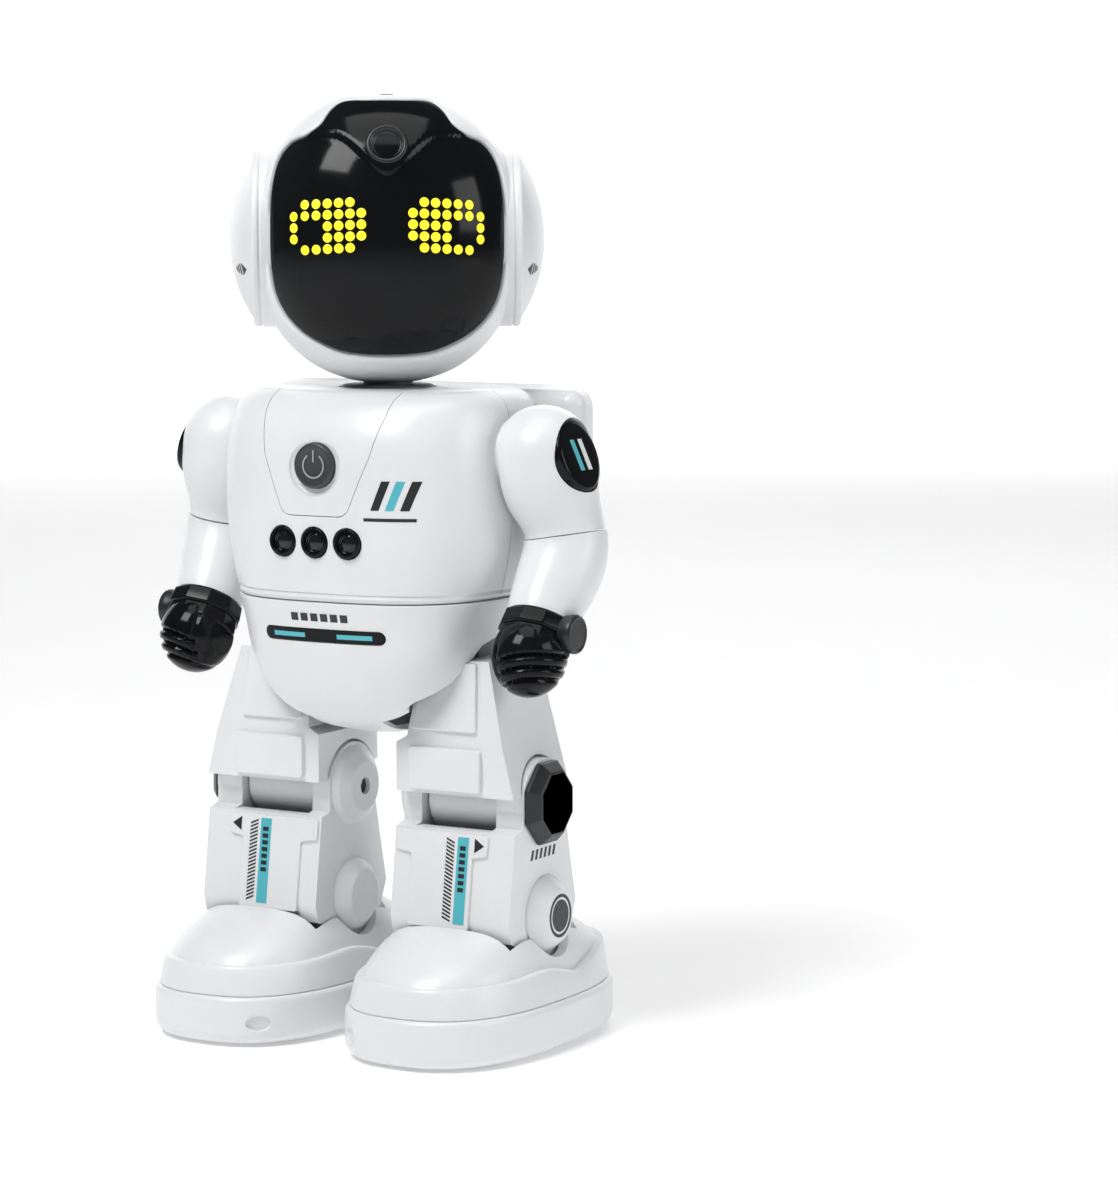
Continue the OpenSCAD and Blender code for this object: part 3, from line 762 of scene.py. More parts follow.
def on_front(x, z):
    """A place on the torso's front, whose Z axis points out."""
    return place(torso_front(x, z), x_turn=90)


def on_rear(x, z, sunk=0.0):
    """A place on the torso's rear or sunk under it, whose Z axis points out."""
    return place((x, torso_rear(x, z).y - sunk, z), x_turn=-90)


TOP_Z = TORSO[-1][0]
CHEST_LOW = WAIST_Z + 0.3
NECK_R = 13.8
SHOULDER = joint_at("left_arm_swing")
SHOULDER_FACE_X = 44.2


def chest_solid(name):
    """The hollow chest: outer form with a step at the waist and a rounded top edge."""
    step = [
        (CHEST_LOW, WAIST_STEP + 0.2), (CHEST_LOW + 0.3, WAIST_STEP), (CHEST_LOW + WAIST_BAND, WAIST_STEP),
        (CHEST_LOW + WAIST_BAND + 0.35, 0.05), (CHEST_LOW + WAIST_BAND + 0.8, 0.0),
    ]
    return torso_form(name, 0, CHEST_LOW, TOP_Z, 46, step)


def chest_room():
    return torso_form("room", WALL, CHEST_LOW - 5, TOP_Z - WALL, 30)


def shoulder_boss(name, side):
    profile = [(10, 34), (10, SHOULDER_FACE_X - 0.7), (9.6, SHOULDER_FACE_X - 0.3)]
    return turned(name, profile, across(SHOULDER, side))


BIB = [(-20.2, 186), (20.2, 186), (19.4, 176), (16.8, 165), (10, 148.6), (-10, 148.6),
       (-16.8, 165), (-19.4, 176)]
BIB_CORNER = 4.0
BUTTON_AT = Vector((0, 0, 162.2))
BUTTON_R = 6.2
SENSOR_Z, SENSOR_PITCH, SENSOR_R = 141.2, 10.4, 4.2


CORNER_STEPS = 5


def rounded(outline, radius, grow=0.0):
    """An outline with its corners rounded and, if asked, moved outwards."""
    count = len(outline)
    points = [Vector(p) for p in outline]
    area = sum(points[i].x * points[(i + 1) % count].y - points[(i + 1) % count].x * points[i].y
               for i in range(count))
    turn = 1 if area > 0 else -1
    line = []
    for i in range(count):
        before, here, after = points[i - 1], points[i], points[(i + 1) % count]
        into, out = (here - before).normalized(), (after - here).normalized()
        half = math.acos(max(-1, min(1, into.dot(out)))) / 2
        reach = min(radius * math.tan(half), (here - before).length / 2.2, (after - here).length / 2.2)
        for k in range(CORNER_STEPS + 1):
            t = k / CORNER_STEPS
            a = here - into * reach
            b = here + out * reach
            p = a.lerp(here, t).lerp(here.lerp(b, t), t)
            along = into.lerp(out, t).normalized()
            normal = Vector((along.y, -along.x)) * turn
            line.append(tuple(p + normal * grow))
    return line


def pin(name, x, z, radius, low, high, count=48):
    """A round tool along Y."""
    return prism(name, arc((x, z), radius, 0, 360 - 360 / count, count - 1), low, high, "y")


def neck_hole():
    return turned("neck", [(NECK_R, 160), (NECK_R, 200)], place((0, BODY_Y, 0)), 96)


# How far tools reach in Y through the torso's front and rear walls
FRONT_CUT, REAR_CUT = (-60, -20), (20, 50)


def chest_front():
    obj = combine(chest_solid("chest_front"), chest_room())
    combine(obj, shoulder_boss("boss", 1), shoulder_boss("boss", -1), operation="UNION")
    slice_off(obj, (0, SPLIT_Y, 0), (0, 1, 0))
    tools = [
        prism("bib", rounded(BIB, BIB_CORNER, 0.22), *FRONT_CUT, "y"),
        neck_hole(),
    ]
    tools += [pin("eye", x, SENSOR_Z, SENSOR_R + 0.25, *FRONT_CUT) for x in sensor_places()]
    combine(obj, *tools)
    return soften(obj, 0.22, 2, 40)


def sensor_places():
    return [k * SENSOR_PITCH for k in (-1, 0, 1)]


def chest_bib():
    obj = combine(chest_solid("chest_bib"), chest_room())
    combine(obj, prism("bib", rounded(BIB, BIB_CORNER), *FRONT_CUT, "y"), operation="INTERSECT")
    face = torso_front(0, BUTTON_AT.z).y
    dish = turned(
        "dish",
        [(BUTTON_R + 0.2, 6), (BUTTON_R + 0.2, 1.0), (7.5, 0.85), (8.1, 0.45), (8.6, -0.5), (8.6, -4)],
        place((0, face, BUTTON_AT.z), x_turn=-90), 72)
    combine(obj, dish, neck_hole())
    return soften(obj, 0.22, 2, 40)


# Radius, distance out, distance back and height of one side's balls
WING_BALLS = [(4.6, 47, 21, 163.1), (4.6, 47, 21, 177), (6.4, 44, 26.4, 163.3), (6.4, 44, 26.4, 176.2)]


def back_wings():
    """The shoulder housing: the hull of eight balls, behind the arms."""
    work = bmesh.new()
    for x in (-1, 1):
        for radius, out, back, z in WING_BALLS:
            bmesh.ops.create_uvsphere(
                work, u_segments=40, v_segments=24, radius=radius * MM,
                matrix=Matrix.Translation(Vector((x * out, back + BODY_Y, z)) * MM))
    hull = bmesh.ops.convex_hull(work, input=work.verts)
    inside = [g for g in hull["geom_interior"] + hull["geom_unused"] if isinstance(g, bmesh.types.BMVert)]
    bmesh.ops.delete(work, geom=list(set(inside)), context="VERTS")
    faces = {f for f in hull["geom"] if isinstance(f, bmesh.types.BMFace) and f.is_valid}
    spare = [f for f in work.faces if f not in faces]
    bmesh.ops.delete(work, geom=spare, context="FACES")
    bmesh.ops.recalc_face_normals(work, faces=work.faces)
    mesh = bpy.data.meshes.new("wings")
    work.to_mesh(mesh)
    work.free()
    obj = bpy.data.objects.new("wings", mesh)
    bpy.context.scene.collection.objects.link(obj)
    return obj


DOOR_X, DOOR_LOW, DOOR_HIGH = 20.0, 129.0, 153.0
SOCKET_AT = (14.0, 160.0)
SCREW_X = 26.0
CASE_SCREWS = (129.0, 150.0)
DOOR_SCREW_Z = 131.8
SPEAKER_Z = 168.0


def chest_rear():
    obj = chest_solid("chest_rear")
    combine(obj, back_wings(), operation="UNION")
    combine(obj, chest_room())
    combine(obj, shoulder_boss("boss", 1), shoulder_boss("boss", -1), operation="UNION")
    slice_off(obj, (0, SPLIT_Y + 0.3, 0), (0, -1, 0))
    tools = [
        block("door", (-DOOR_X, 20, DOOR_LOW), (DOOR_X, 50, DOOR_HIGH)),
        pin("socket", *SOCKET_AT, 3.1, *REAR_CUT),
        block("switch", (-19, 20, 157.5), (-9, 50, 162.5)),
        neck_hole(),
    ]
    tools += [pin("screw", x * SCREW_X, z, 2.9, *REAR_CUT, 32) for x in (-1, 1) for z in CASE_SCREWS]
    for ring, count in ((0, 1), (2.6, 6), (5.2, 12)):
        for k in range(count):
            t = math.tau * k / count
            tools.append(pin("grille", ring * math.cos(t), SPEAKER_Z + ring * math.sin(t), 0.7, 25, 50, 16))
    combine(obj, *tools)
    return soften(obj, 0.22, 2, 40)


def battery_door():
    obj = combine(chest_solid("battery_door_skin"), chest_room())
    combine(obj, block("door", (-DOOR_X + 0.3, 20, DOOR_LOW + 0.3), (DOOR_X - 0.3, 50, DOOR_HIGH - 0.3)),
            operation="INTERSECT")
    tools = [pin("screw", 0, DOOR_SCREW_Z, 2.5, *REAR_CUT, 32)]
    for k in range(4):
        z = DOOR_HIGH - 4.5 - 1.6 * k
        deep = torso_rear(0, z).y - 0.5
        tools.append(prism("groove", rect(-6, z, 6, z + 0.6), deep, 50, "y"))
    combine(obj, *tools)
    return soften(obj, 0.22, 2, 40)


def belly():
    heights = [85.6, 85.9, 86.5, 87.4, 88.6, 90.2, 92.2, 94.6, 97, 100, 103, 106, 109, 112, 115, 118,
               121, 123.6]
    rings = [torso_ring(z, -0.25) for z in heights]
    rings += [torso_ring(WAIST_Z - 0.35, -0.25), torso_ring(WAIST_Z - 0.08, -0.1), torso_ring(WAIST_Z, 0.2)]
    obj = loft("belly_skin", rings)
    combine(obj, torso_form("room", WALL, 88.5, WAIST_Z + 4, 16))
    for side in (-1, 1):
        room = [(-26, 80), (-24, 97), (-17.6, 102), (-13.6, 108), (-9.8, 112), (-1, 114.4), (8, 115.5),
                (16, 116), (16, 80)]
        inner = [(-22.5, 80), (-22.5, 109.5), (16, 109.5), (16, 80)]
        for outline, near, far in ((room, 20.5, 60), (inner, 11.6, 21)):
            at = sorted((side * near, side * far))
            combine(obj, prism("thigh", [(y + BODY_Y, z) for y, z in outline], *at, "x"))
    combine(obj, prism("window", stadium(0, BELT_Z, BELT_HALF, BELT_R + 0.15), *FRONT_CUT, "y"))
    return soften(obj, 0.25, 2, 40)


BELT_Z, BELT_HALF, BELT_R = 115.2, 17.6, 1.8


def stadium(x, z, half, radius):
    """A slot outline: half its straight length either side of x."""
    return arc((x + half, z), radius, -90, 90, 12) + arc((x - half, z), radius, 90, 270, 12)


def belly_bar():
    obj = torso_form("belly_bar", -0.45, 108, 121, 10)
    combine(obj, torso_form("room", WALL - 0.6, 100, 130, 10))
    combine(obj, prism("window", stadium(0, BELT_Z, BELT_HALF, BELT_R), *FRONT_CUT, "y"), operation="INTERSECT")
    return soften(obj, 0.3, 3, 40)


def belly_windows():
    """Two lit windows let into the bar."""
    windows = []
    for side in (-1, 1):
        x0, x1 = sorted((side * 5.2, side * 15.9))
        windows.append(patch(
            "window", rect(x0, BELT_Z - 0.65, x1, BELT_Z + 0.65),
            lambda x, z, lift: torso_front(x, z, 0.5 + lift), 0.12, 8))
    return joined("belly_windows", windows)


def sensor_bezels():
    rings = []
    for x in sensor_places():
        rings.append(turned(
            "bezel", [(3.0, -3), (SENSOR_R, -3), (SENSOR_R, 0.35), (SENSOR_R - 0.3, 0.7), (SENSOR_R - 0.8, 0.75),
                      (SENSOR_R - 1.1, 0.4), (3.0, -0.2)], on_front(x, SENSOR_Z), 56, looped=True))
    return joined("sensor_rings", rings)


def sensor_glass():
    domes = []
    for x in sensor_places():
        domes.append(turned(
            "glass", [(3.05, -2), (3.05, -0.4), (2.75, -0.2), (2.6, -0.35), (2.1, -0.1), (1.95, -0.25),
                      (1.3, 0.0), (0.7, 0.08), (0, 0.1)], on_front(x, SENSOR_Z), 48))
    return joined("sensor_glass", domes, 50)


def power_button():
    profile = [
        (BUTTON_R, -4), (BUTTON_R, 0.3), (BUTTON_R - 0.15, 0.6), (BUTTON_R - 0.55, 0.75),
        (BUTTON_R - 1.0, 0.68), (BUTTON_R - 1.6, 0.5), (3, 0.35), (0, 0.3),
    ]
    return smooth(turned("button_skin", profile, on_front(0, BUTTON_AT.z), 72), 50)


def power_symbol():
    """The common power sign: an open ring and a bar."""
    face = torso_front(0, BUTTON_AT.z).y
    marks = []
    radius, half, steps = 3.3, 0.22, 24

    def surface(x, z, lift):
        return Vector((x, face - 0.5 - lift, z))
    for k in range(steps):
        t0, t1 = (math.radians(125 + 290 * (k + e) / steps) for e in (0, 1))
        corners = [
            ((radius + half * s) * math.cos(t), BUTTON_AT.z + (radius + half * s) * math.sin(t))
            for s, t in ((-1, t0), (1, t0), (1, t1), (-1, t1))
        ]
        marks.append(patch("sign", corners, surface, 0.06, 1))
    bar = rect(-half, BUTTON_AT.z + 1.0, half, BUTTON_AT.z + 4.3)
    marks.append(patch("sign", bar, surface, 0.06, 1))
    return joined("button_sign", marks)


def slanted_bar(x, low, high, width, slant):
    """The corners of a slanted bar that starts at x."""
    return [(x, low), (x + width, low), (x + width + slant, high), (x + slant, high)]


def chest_print(name, places):
    """Plain slanted bars printed beside the foot of the bib."""
    bars = [patch(name, slanted_bar(x, 150.6, 158.6, 2.3, 3), torso_front, 0.07, 4) for x in places]
    return joined(name, bars)


def printed_rules():
    """A thin printed line under the chest's bars, and a row of dashes over the belly's window."""
    marks = [patch("rule", rect(15.6, 147.6, 29.6, 148.5), torso_front, 0.07, 6)]
    for k in range(6):
        x = -9.3 + 3.2 * k
        marks.append(patch("dash", rect(x, 119.2, x + 2.3, 121.4),
                           lambda u, v, lift: torso_front(u, v, 0.27 + lift), 0.05, 2))
    return joined("printed_rules", marks)


def neck_ring():
    profile = [
        (7.1, 175.5), (13.0, 175.5), (13.3, 176), (13.3, 181.8), (12.9, 182.6), (12, 182.9), (7.1, 182.9),
    ]
    return smooth(turned("neck_ring", profile, place((0, BODY_Y, 0)), 80, looped=True), 45)


def socket_skin():
    profile = [(1.85, -9), (3.0, -9), (3.0, 0.1), (2.8, 0.3), (2.2, 0.3), (1.95, 0.1), (1.85, -0.3)]
    return smooth(turned("socket_ring", profile, on_rear(*SOCKET_AT), 48, looped=True), 45)


def switch_skin():
    low, high = (Vector(v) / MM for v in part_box("power_switch"))
    obj = block("switch_knob", low, high)
    for k in range(3):
        x = low.x + 0.9 + 0.9 * k
        combine(obj, block("rib", (x, high.y - 0.45, low.z - 1), (x + 0.4, high.y + 1, high.z + 1)))
    return soften(obj, 0.15, 2)


def screw_heads():
    """Countersunk case screws with cross slots."""
    heads = []
    for x, z in [(s * SCREW_X, z) for s in (-1, 1) for z in CASE_SCREWS] + [(0, DOOR_SCREW_Z)]:
        at = on_rear(x, z, 1.4)
        profile = [(1.2, -6), (1.2, -1.4), (2.2, -1.2), (2.3, -0.5), (1.6, -0.05), (0, 0.1)]
        head = turned("screw", profile, at, 32)
        for turn in (20, 110):
            slot = block("slot", (-1.5, -0.22, -0.55), (1.5, 0.22, 1))
            slot.data.transform(Matrix.Scale(1 / MM, 4))
            slot.data.transform(at @ Matrix.Rotation(math.radians(turn), 4, "Z"))
            slot.data.transform(Matrix.Scale(MM, 4))
            combine(head, slot)
        heads.append(head)
    return joined("case_screws", heads)


def make_torso():
    put(chest_front(), "torso", "white_shell", "chest_front_shell")
    put(chest_bib(), "torso", "white_shell", "chest_panel")
    put(chest_rear(), "torso", "white_shell", "chest_rear_shell")
    put(battery_door(), "torso", "white_shell", "battery_door")
    put(belly(), "torso", "white_shell", "belly_shell")
    put(belly_bar(), "torso", "black_gloss", "belly_light_window")
    put(belly_windows(), "torso", "lens", look="teal_print")
    put(sensor_bezels(), "torso", "black_gloss", "sensor_bezels")
    put(sensor_glass(), "torso", "lens", "sensor_lenses")
    put(power_button(), "power_button", "grey_plastic", "power_button", look="button_grey")
    put(power_symbol(), "power_button", "white_shell", look="grey_print")
    put(chest_print("chest_bars_teal", (21.6,)), "torso", "white_shell", look="teal_print")
    put(chest_print("chest_bars_dark", (17.6, 25.6)), "torso", "black_plastic")
    put(printed_rules(), "torso", "black_plastic")
    put(neck_ring(), "torso", "grey_plastic", "neck_collar")
    put(socket_skin(), "torso", "black_plastic", "charging_socket")
    put(switch_skin(), "power_switch", "black_plastic", "power_switch")
    put(screw_heads(), "torso", "steel", "shell_screws")


make_torso()

# ---------------------------------------------------------------- arms

ELBOW = joint_at("left_elbow_twist")
WRIST = joint_at("left_wrist_twist")
ELBOW_SPLAY, WRIST_LEAN = math.radians(9), 33
ELBOW_WAY = Vector((math.sin(ELBOW_SPLAY), 0, -math.cos(ELBOW_SPLAY)))
SHOULDER_R, SLEEVE_R, WRIST_R = 14.1, 11.6, 9.6


def lean(angle):
    """The direction down an arm that leans forward by an angle."""
    t = math.radians(angle)
    return Vector((0, -math.sin(t), -math.cos(t)))


def sweep(name, stations, count=64):
    """A round form through stations of (centre, direction, radius)."""
    rings = []
    for centre, direction, radius in stations:
        axis = Vector(direction).normalized()
        side = Vector((1, 0, 0))
        side = (side - axis * side.dot(axis)).normalized()
        up = axis.cross(side)
        rings.append([
            Vector(centre) + (side * math.cos(t) + up * math.sin(t)) * radius
            for t in (math.tau * i / count for i in range(count))
        ])
    return loft(name, rings)


def bezier(p, q, r, s, t):
    """A point and direction on a cubic curve."""
    u = 1 - t
    point = u**3 * p + 3 * u * u * t * q + 3 * u * t * t * r + t**3 * s
    way = 3 * u * u * (q - p) + 6 * u * t * (r - q) + 3 * t * t * (s - r)
    return point, way.normalized()


CAP_DROP, CAP_TILT = 3.1, 71.5
CAP_AT = place(SHOULDER - Vector((0, 0, CAP_DROP)), y_turn=CAP_TILT)


def upper_arm(name):
    """The shoulder ball, drawn down into the short sleeve that meets the elbow."""
    foot = ELBOW - ELBOW_WAY * 0.2
    first = Vector((0.12, 0.02, -1)).normalized()
    stations = []
    for k in range(13):
        t = math.radians(90 * k / 12)
        radius = max(SHOULDER_R * math.sin(t), 0.01)
        stations.append((SHOULDER - first * SHOULDER_R * math.cos(t), first, radius))
    radii = [(0, SHOULDER_R), (0.2, 13.95), (0.45, 13.1), (0.7, 11.8), (0.88, 11.25), (1, 11.2)]
    for k in range(1, 19):
        t = k / 18
        centre, way = bezier(SHOULDER, SHOULDER + first * 8, foot - ELBOW_WAY * 7, foot, t)
        stations.append((centre, way, spline(radii, t)[0]))
    obj = sweep(name, stations, 72)
    slice_off(obj, (SHOULDER_FACE_X, 0, 0), (-1, 0, 0))
    combine(obj, turned("seat", [(10.5, 6.4), (10.5, 24)], CAP_AT, 80))
    soften(obj, 0.4, 3, 45)
    axle = turned("axle", [(3, 33), (3, 46)], across(SHOULDER), 32)
    return merge(obj, axle)


def shoulder_cap(name):
    profile = [
        (9.4, 6.5), (10.25, 6.7), (10.3, 11.2), (10.1, 11.8), (9.5, 12.2), (8.7, 12.4), (6, 12.48), (3, 12.5),
        (0, 12.5),
    ]
    return smooth(turned(name, profile, CAP_AT, 80), 40)


def cap_surface(u, v, lift):
    """The cap's face: u across it, towards the front, and v up it."""
    return CAP_AT @ Vector((-v, -u, 12.5 - 0.0015 * (u * u + v * v) + lift))


def cap_bar(name, x):
    """One of the plain slanted bars on the cap."""
    return patch(name, slanted_bar(x, -4.4, 4.4, 2.2, 1.6), cap_surface, 0.06, 2)


SCREW_AT = place((56, -2.4, 127.4), y_turn=-90)


def forearm(name):
    """The sleeve under the elbow, bent forward and drawn in to the wrist."""
    top = ELBOW + ELBOW_WAY * 0.15
    down = ELBOW_WAY
    radii = [(0, 11.7), (0.3, 11.75), (0.55, 11.4), (0.8, 10.4), (1, WRIST_R)]
    stations = [(top, down, SLEEVE_R - 0.25), (top + down * 0.12, down, SLEEVE_R + 0.1),
                (top + down * 0.5, down, SLEEVE_R + 0.2)]
    for k in range(1, 23):
        t = k / 22
        centre, way = bezier(top + down * 0.5, top + down * 8, WRIST - lean(WRIST_LEAN) * 8, WRIST, t)
        stations.append((centre, way, spline(radii, t)[0]))
    obj = sweep(name, stations, 72)
    combine(obj, turned("hole", [(2.4, 7.4), (2.4, 16)], SCREW_AT, 32))
    return soften(obj, 0.25, 2, 40)


def sleeve_screw(name):
    profile = [(0.6, 6.5), (2.35, 6.5), (2.35, 9.9), (2.1, 9.9), (1.9, 8.4), (0.6, 8.1)]
    return smooth(turned(name, profile, SCREW_AT, 32, looped=True))


HAND_AT = place(WRIST, x_turn=180 - WRIST_LEAN)
FIST_R = 11.2
# Finger grooves: heights along the stacking direction of the fingers
FINGER_WAY = Vector((0.16, -0.42, 0.89)).normalized()
FINGER_GROOVES = (0.2, 3.7, 7.0)


def cuff(name, bands):
    """A ten-sided cuff band with bevelled edges."""
    obj = turned(name, bands, HAND_AT @ Matrix.Rotation(math.radians(18), 4, "Z"), 10)
    return soften(obj, 0.35, 2, 25)


def fist(name):
    """The closed glove: a ball with curled finger grooves and a flat inner side."""
    steps, count = 60, 96
    rings = []
    for k in range(steps + 1):
        t = math.pi * (k / steps)
        ring = []
        for i in range(count):
            a = math.tau * i / count
            way = Vector((math.sin(t) * math.cos(a), math.sin(t) * math.sin(a), -math.cos(t)))
            p = Vector((way.x * 10.3, way.y * FIST_R, way.z * FIST_R))
            height = p.dot(FINGER_WAY)
            depth = 0
            for groove in FINGER_GROOVES:
                bowed = height - groove - 0.06 * (p.x - 4) ** 2 / 4
                depth += 1.5 * math.exp(-(bowed / 0.5) ** 2)
            reach = min(max((p.x + 7) / 4, 0), 1)
            thumb = 0.8 * math.exp(-((p.x + 5.4) / 0.45) ** 2) * min(max((p.y - 1) / 3, 0), 1)
            p -= way * (depth * reach * min(max((9.6 - way.z * 0.2 + p.y) / 6, 0), 1) + thumb)
            ring.append(HAND_AT @ (p + Vector((0, 0, 11))))
        rings.append(ring)
    obj = loft(name, rings)
    inner = HAND_AT @ Vector((-8.9, 0, 11))
    slice_off(obj, inner, (-1, 0, 0))
    slice_off(obj, HAND_AT @ Vector((0, 0, 4)), -lean(WRIST_LEAN))
    return smooth(obj, 50)


def hand(name):
    upper = cuff("cuff", [(9.4, 0.35), (10.5, 0.45), (11.0, 4.6), (10.3, 5.2)])
    lower = cuff("cuff", [(9.6, 4.8), (10.2, 5.0), (10.75, 8.6), (10.1, 9.3)])
    return merge(fist(name), upper, lower)


KNOB_AT = HAND_AT @ place((0, 0, 3.4), y_turn=90)


def wrist_knob(name):
    profile = [
        (3.2, 9), (5.0, 9), (5.2, 10.7), (5.4, 11.0), (5.4, 12.2), (5.2, 12.75), (4.7, 13.05), (4.4, 13.0),
        (4.2, 12.8), (0, 12.85),
    ]
    return smooth(turned(name, profile, KNOB_AT, 56), 40)


def make_arms():
    pair("arm_upper", upper_arm, "upper_arm", "white_shell", "upper_arm")
    pair("arm_cap", shoulder_cap, "upper_arm", "black_gloss", "shoulder_cap")
    pair("arm_bar", lambda name: cap_bar(name, -3.9), "upper_arm", "black_gloss", look="white_print")
    pair("arm_bar_teal", lambda name: cap_bar(name, 0.3), "upper_arm", "black_gloss", look="teal_print")
    pair("arm_lower", forearm, "forearm", "white_shell", "forearm")
    pair("arm_screw", sleeve_screw, "forearm", "black_plastic")
    pair("glove", hand, "hand", "black_gloss", "hand")
    pair("glove_knob", wrist_knob, "hand", "black_plastic", "wrist_knob")


make_arms()

# ---------------------------------------------------------------- legs

KNEE = joint_at("left_knee")
ANKLE = joint_at("left_ankle")
LEG_X = ANKLE.x


def shift(outline):
    """Moves an outline in Y and Z from the body's axis to the robot's frame."""
    return [(y + BODY_Y, z) for y, z in outline]


def rod(name, low, high, at, radius, count=48):
    """A round tool along X, round a joint."""
    return prism(name, arc((at.y, at.z), radius, 0, 360 - 360 / count, count - 1), low, high, "x")


THIGH_FRONT = [(12.9, 70.8), (12.9, 84.5), (16.2, 86.4), (19.6, 108), (40.9, 108), (50.6, 70.8)]
THIGH_SIDE = [(-17.2, 70), (-17.2, 84), (-14, 108), (10, 108), (13.4, 96), (14, 74)]


def thigh(name):
    obj = prism(name, THIGH_FRONT, -40, 40, "y")
    combine(obj, prism("side", shift(THIGH_SIDE), 0, 60, "x"), operation="INTERSECT")
    combine(
        obj,
        block("pocket", (18.4, BODY_Y - 14.6, 60), (42.4, BODY_Y + 11.4, 90)),
        rod("ear", 42.2, 60, KNEE, 13.2, 72),
        rod("ear", 0, 18.4, KNEE, 13.2, 72),
        rod("roller", 18.3, 42.5, KNEE, 11.2, 72),
    )
    return soften(obj, 0.8, 3, 30)


def thigh_front(x, z, lift=0.0):
    """The thigh's front face: upright below, leaning back above."""
    y = -17.2 + max(z - 84, 0) * 3.2 / 24
    return Vector((x, y + BODY_Y - lift, z))


def raised(name, outline, corner, surface, lift):
    """A raised panel on a front face."""
    rings = [[surface(x, z, height) for x, z in rounded(outline, corner)] for height in (-1.2, lift)]
    return soften(loft(name, rings), 0.35, 3)


def thigh_panel(name):
    """The raised rectangle low on the front of the thigh and the long panel above it."""
    low = raised(name, rect(17.6, 72, 40.4, 83.8), 1.2, thigh_front, 1.5)
    high = raised(name, [(18.2, 88.6), (38.6, 88.6), (37.4, 107.5), (20.6, 107.5)], 0.8, thigh_front, 1.2)
    return smooth(merge(low, high))


def knee_roller(name):
    """The barrel in the knee's gap."""
    at = across(KNEE)
    profile = [(2.6, 18.8), (9.6, 18.8), (10.2, 19.4), (10.2, 41.1), (9.6, 41.7), (2.6, 41.7)]
    obj = turned(name, profile, at, 72, looped=True)
    post = block("post", (23, KNEE.y - 7.5, KNEE.z + 4), (37, KNEE.y + 7.5, 100))
    return smooth(merge(obj, post), 40)


def shin_side():
    line = arc((0, KNEE.z), 12.4, -20, 190, 32)
    line += [(-12.4, 61.9), (-16.6, 60.8), (-20, 36), (-18.6, 31)]
    line += arc((0, ANKLE.z), 15.5, 210, 330, 16)
    line += [(17.6, 38), (14.2, 52)]
    return shift(line)


def shin(name):
    obj = prism(name, shin_side(), 12.4, 50.6, "x")
    combine(
        obj,
        block("gap", (18.2, -40, 61), (42.2, 40, 100)),
        block("room", (18.2, BODY_Y - 12.2, 0), (42.2, BODY_Y + 12.2, 80)),
    )
    return soften(obj, 0.9, 4, 30)


SHIN_TOP, SHIN_FOOT = (-16.6, 60.8), (-20.0, 36.0)
PANEL_LIFT = 0.9


def shin_front(x, z, lift=0.0):
    """The slanted front face of the shin."""
    t = (SHIN_TOP[1] - z) / (SHIN_TOP[1] - SHIN_FOOT[1])
    y = SHIN_TOP[0] + t * (SHIN_FOOT[0] - SHIN_TOP[0])
    return Vector((x, y + BODY_Y - lift, z))


def shin_print(x, z, lift=0.0):
    """The face of the shin's raised panel."""
    return shin_front(x, z, PANEL_LIFT + 0.02 + lift)


def shin_panel(name):
    """The raised T on the shin's front: a band below the knee and a stem down to the boot."""
    outline = [
        (18.4, 34), (38, 34), (38, 53.8), (42.6, 54.6), (42.6, 60.2), (13, 60.2), (13, 54.6), (18.4, 53.8),
    ]
    return raised(name, outline, 0.8, shin_front, PANEL_LIFT)


def leg_print(name, side, low, high):
    """Teal strip down the shin."""
    return patch(name, rect(side * low, 35.5, side * high, 59.4), shin_print, 0.07, 2)


def leg_marks(name, side, strip, hatch):
    """Dark print: hatching beside the strip, dashes on it, a triangle on the band and bars on the side."""
    marks = []
    low, high = hatch
    for k in range(22):
        z = 36 + 1.02 * k
        corners = [(low, z + 1.1), (high, z), (high, z + 0.5), (low, z + 1.6)]
        marks.append(patch("hatch", [(side * x, v) for x, v in corners], shin_print, 0.06, 1))
    low, high = strip[0] + 0.8, strip[1] - 0.8
    for k in range(7):
        z = 44.4 + 1.9 * k
        marks.append(patch("dash", rect(side * low, z, side * high, z + 1.2),
                           lambda x, v, lift: shin_print(x, v, 0.04 + lift), 0.06, 1))
    arrow = [(38.6, 55.4), (41.6, 57.4), (41.6, 57.4), (38.6, 59.4)]
    marks.append(patch("arrow", [(side * x, v) for x, v in arrow], shin_print, 0.06, 2))
    for k in range(6):
        corners = slanted_bar(-8 + 2.4 * k, 52.6, 55.4, 1.2, 0.9)
        marks.append(patch(
            "bar", corners, lambda y, v, lift: Vector((side * (50.6 + lift), y + BODY_Y, v)), 0.06, 1))
    return joined(name, marks)


def knee_cap(name):
    """An eight-sided dark cap with a bevelled rim and a sunk round face."""
    at = across(KNEE)
    turn = Matrix.Rotation(math.radians(22.5), 4, "Z")
    obj = turned(name, [(11.6, 50.3), (12.3, 50.7), (12.3, 52.0), (9.8, 54.4), (9.3, 54.8)], at @ turn, 8)
    combine(obj, turned("face", [(8.1, 54.1), (8.2, 55.8)], at, 56))
    soften(obj, 0.35, 3, 20)
    disc = turned("disc", [(7.8, 53), (7.8, 54.2), (7.5, 54.45), (0, 54.45)], at, 56)
    return merge(obj, smooth(disc, 40))


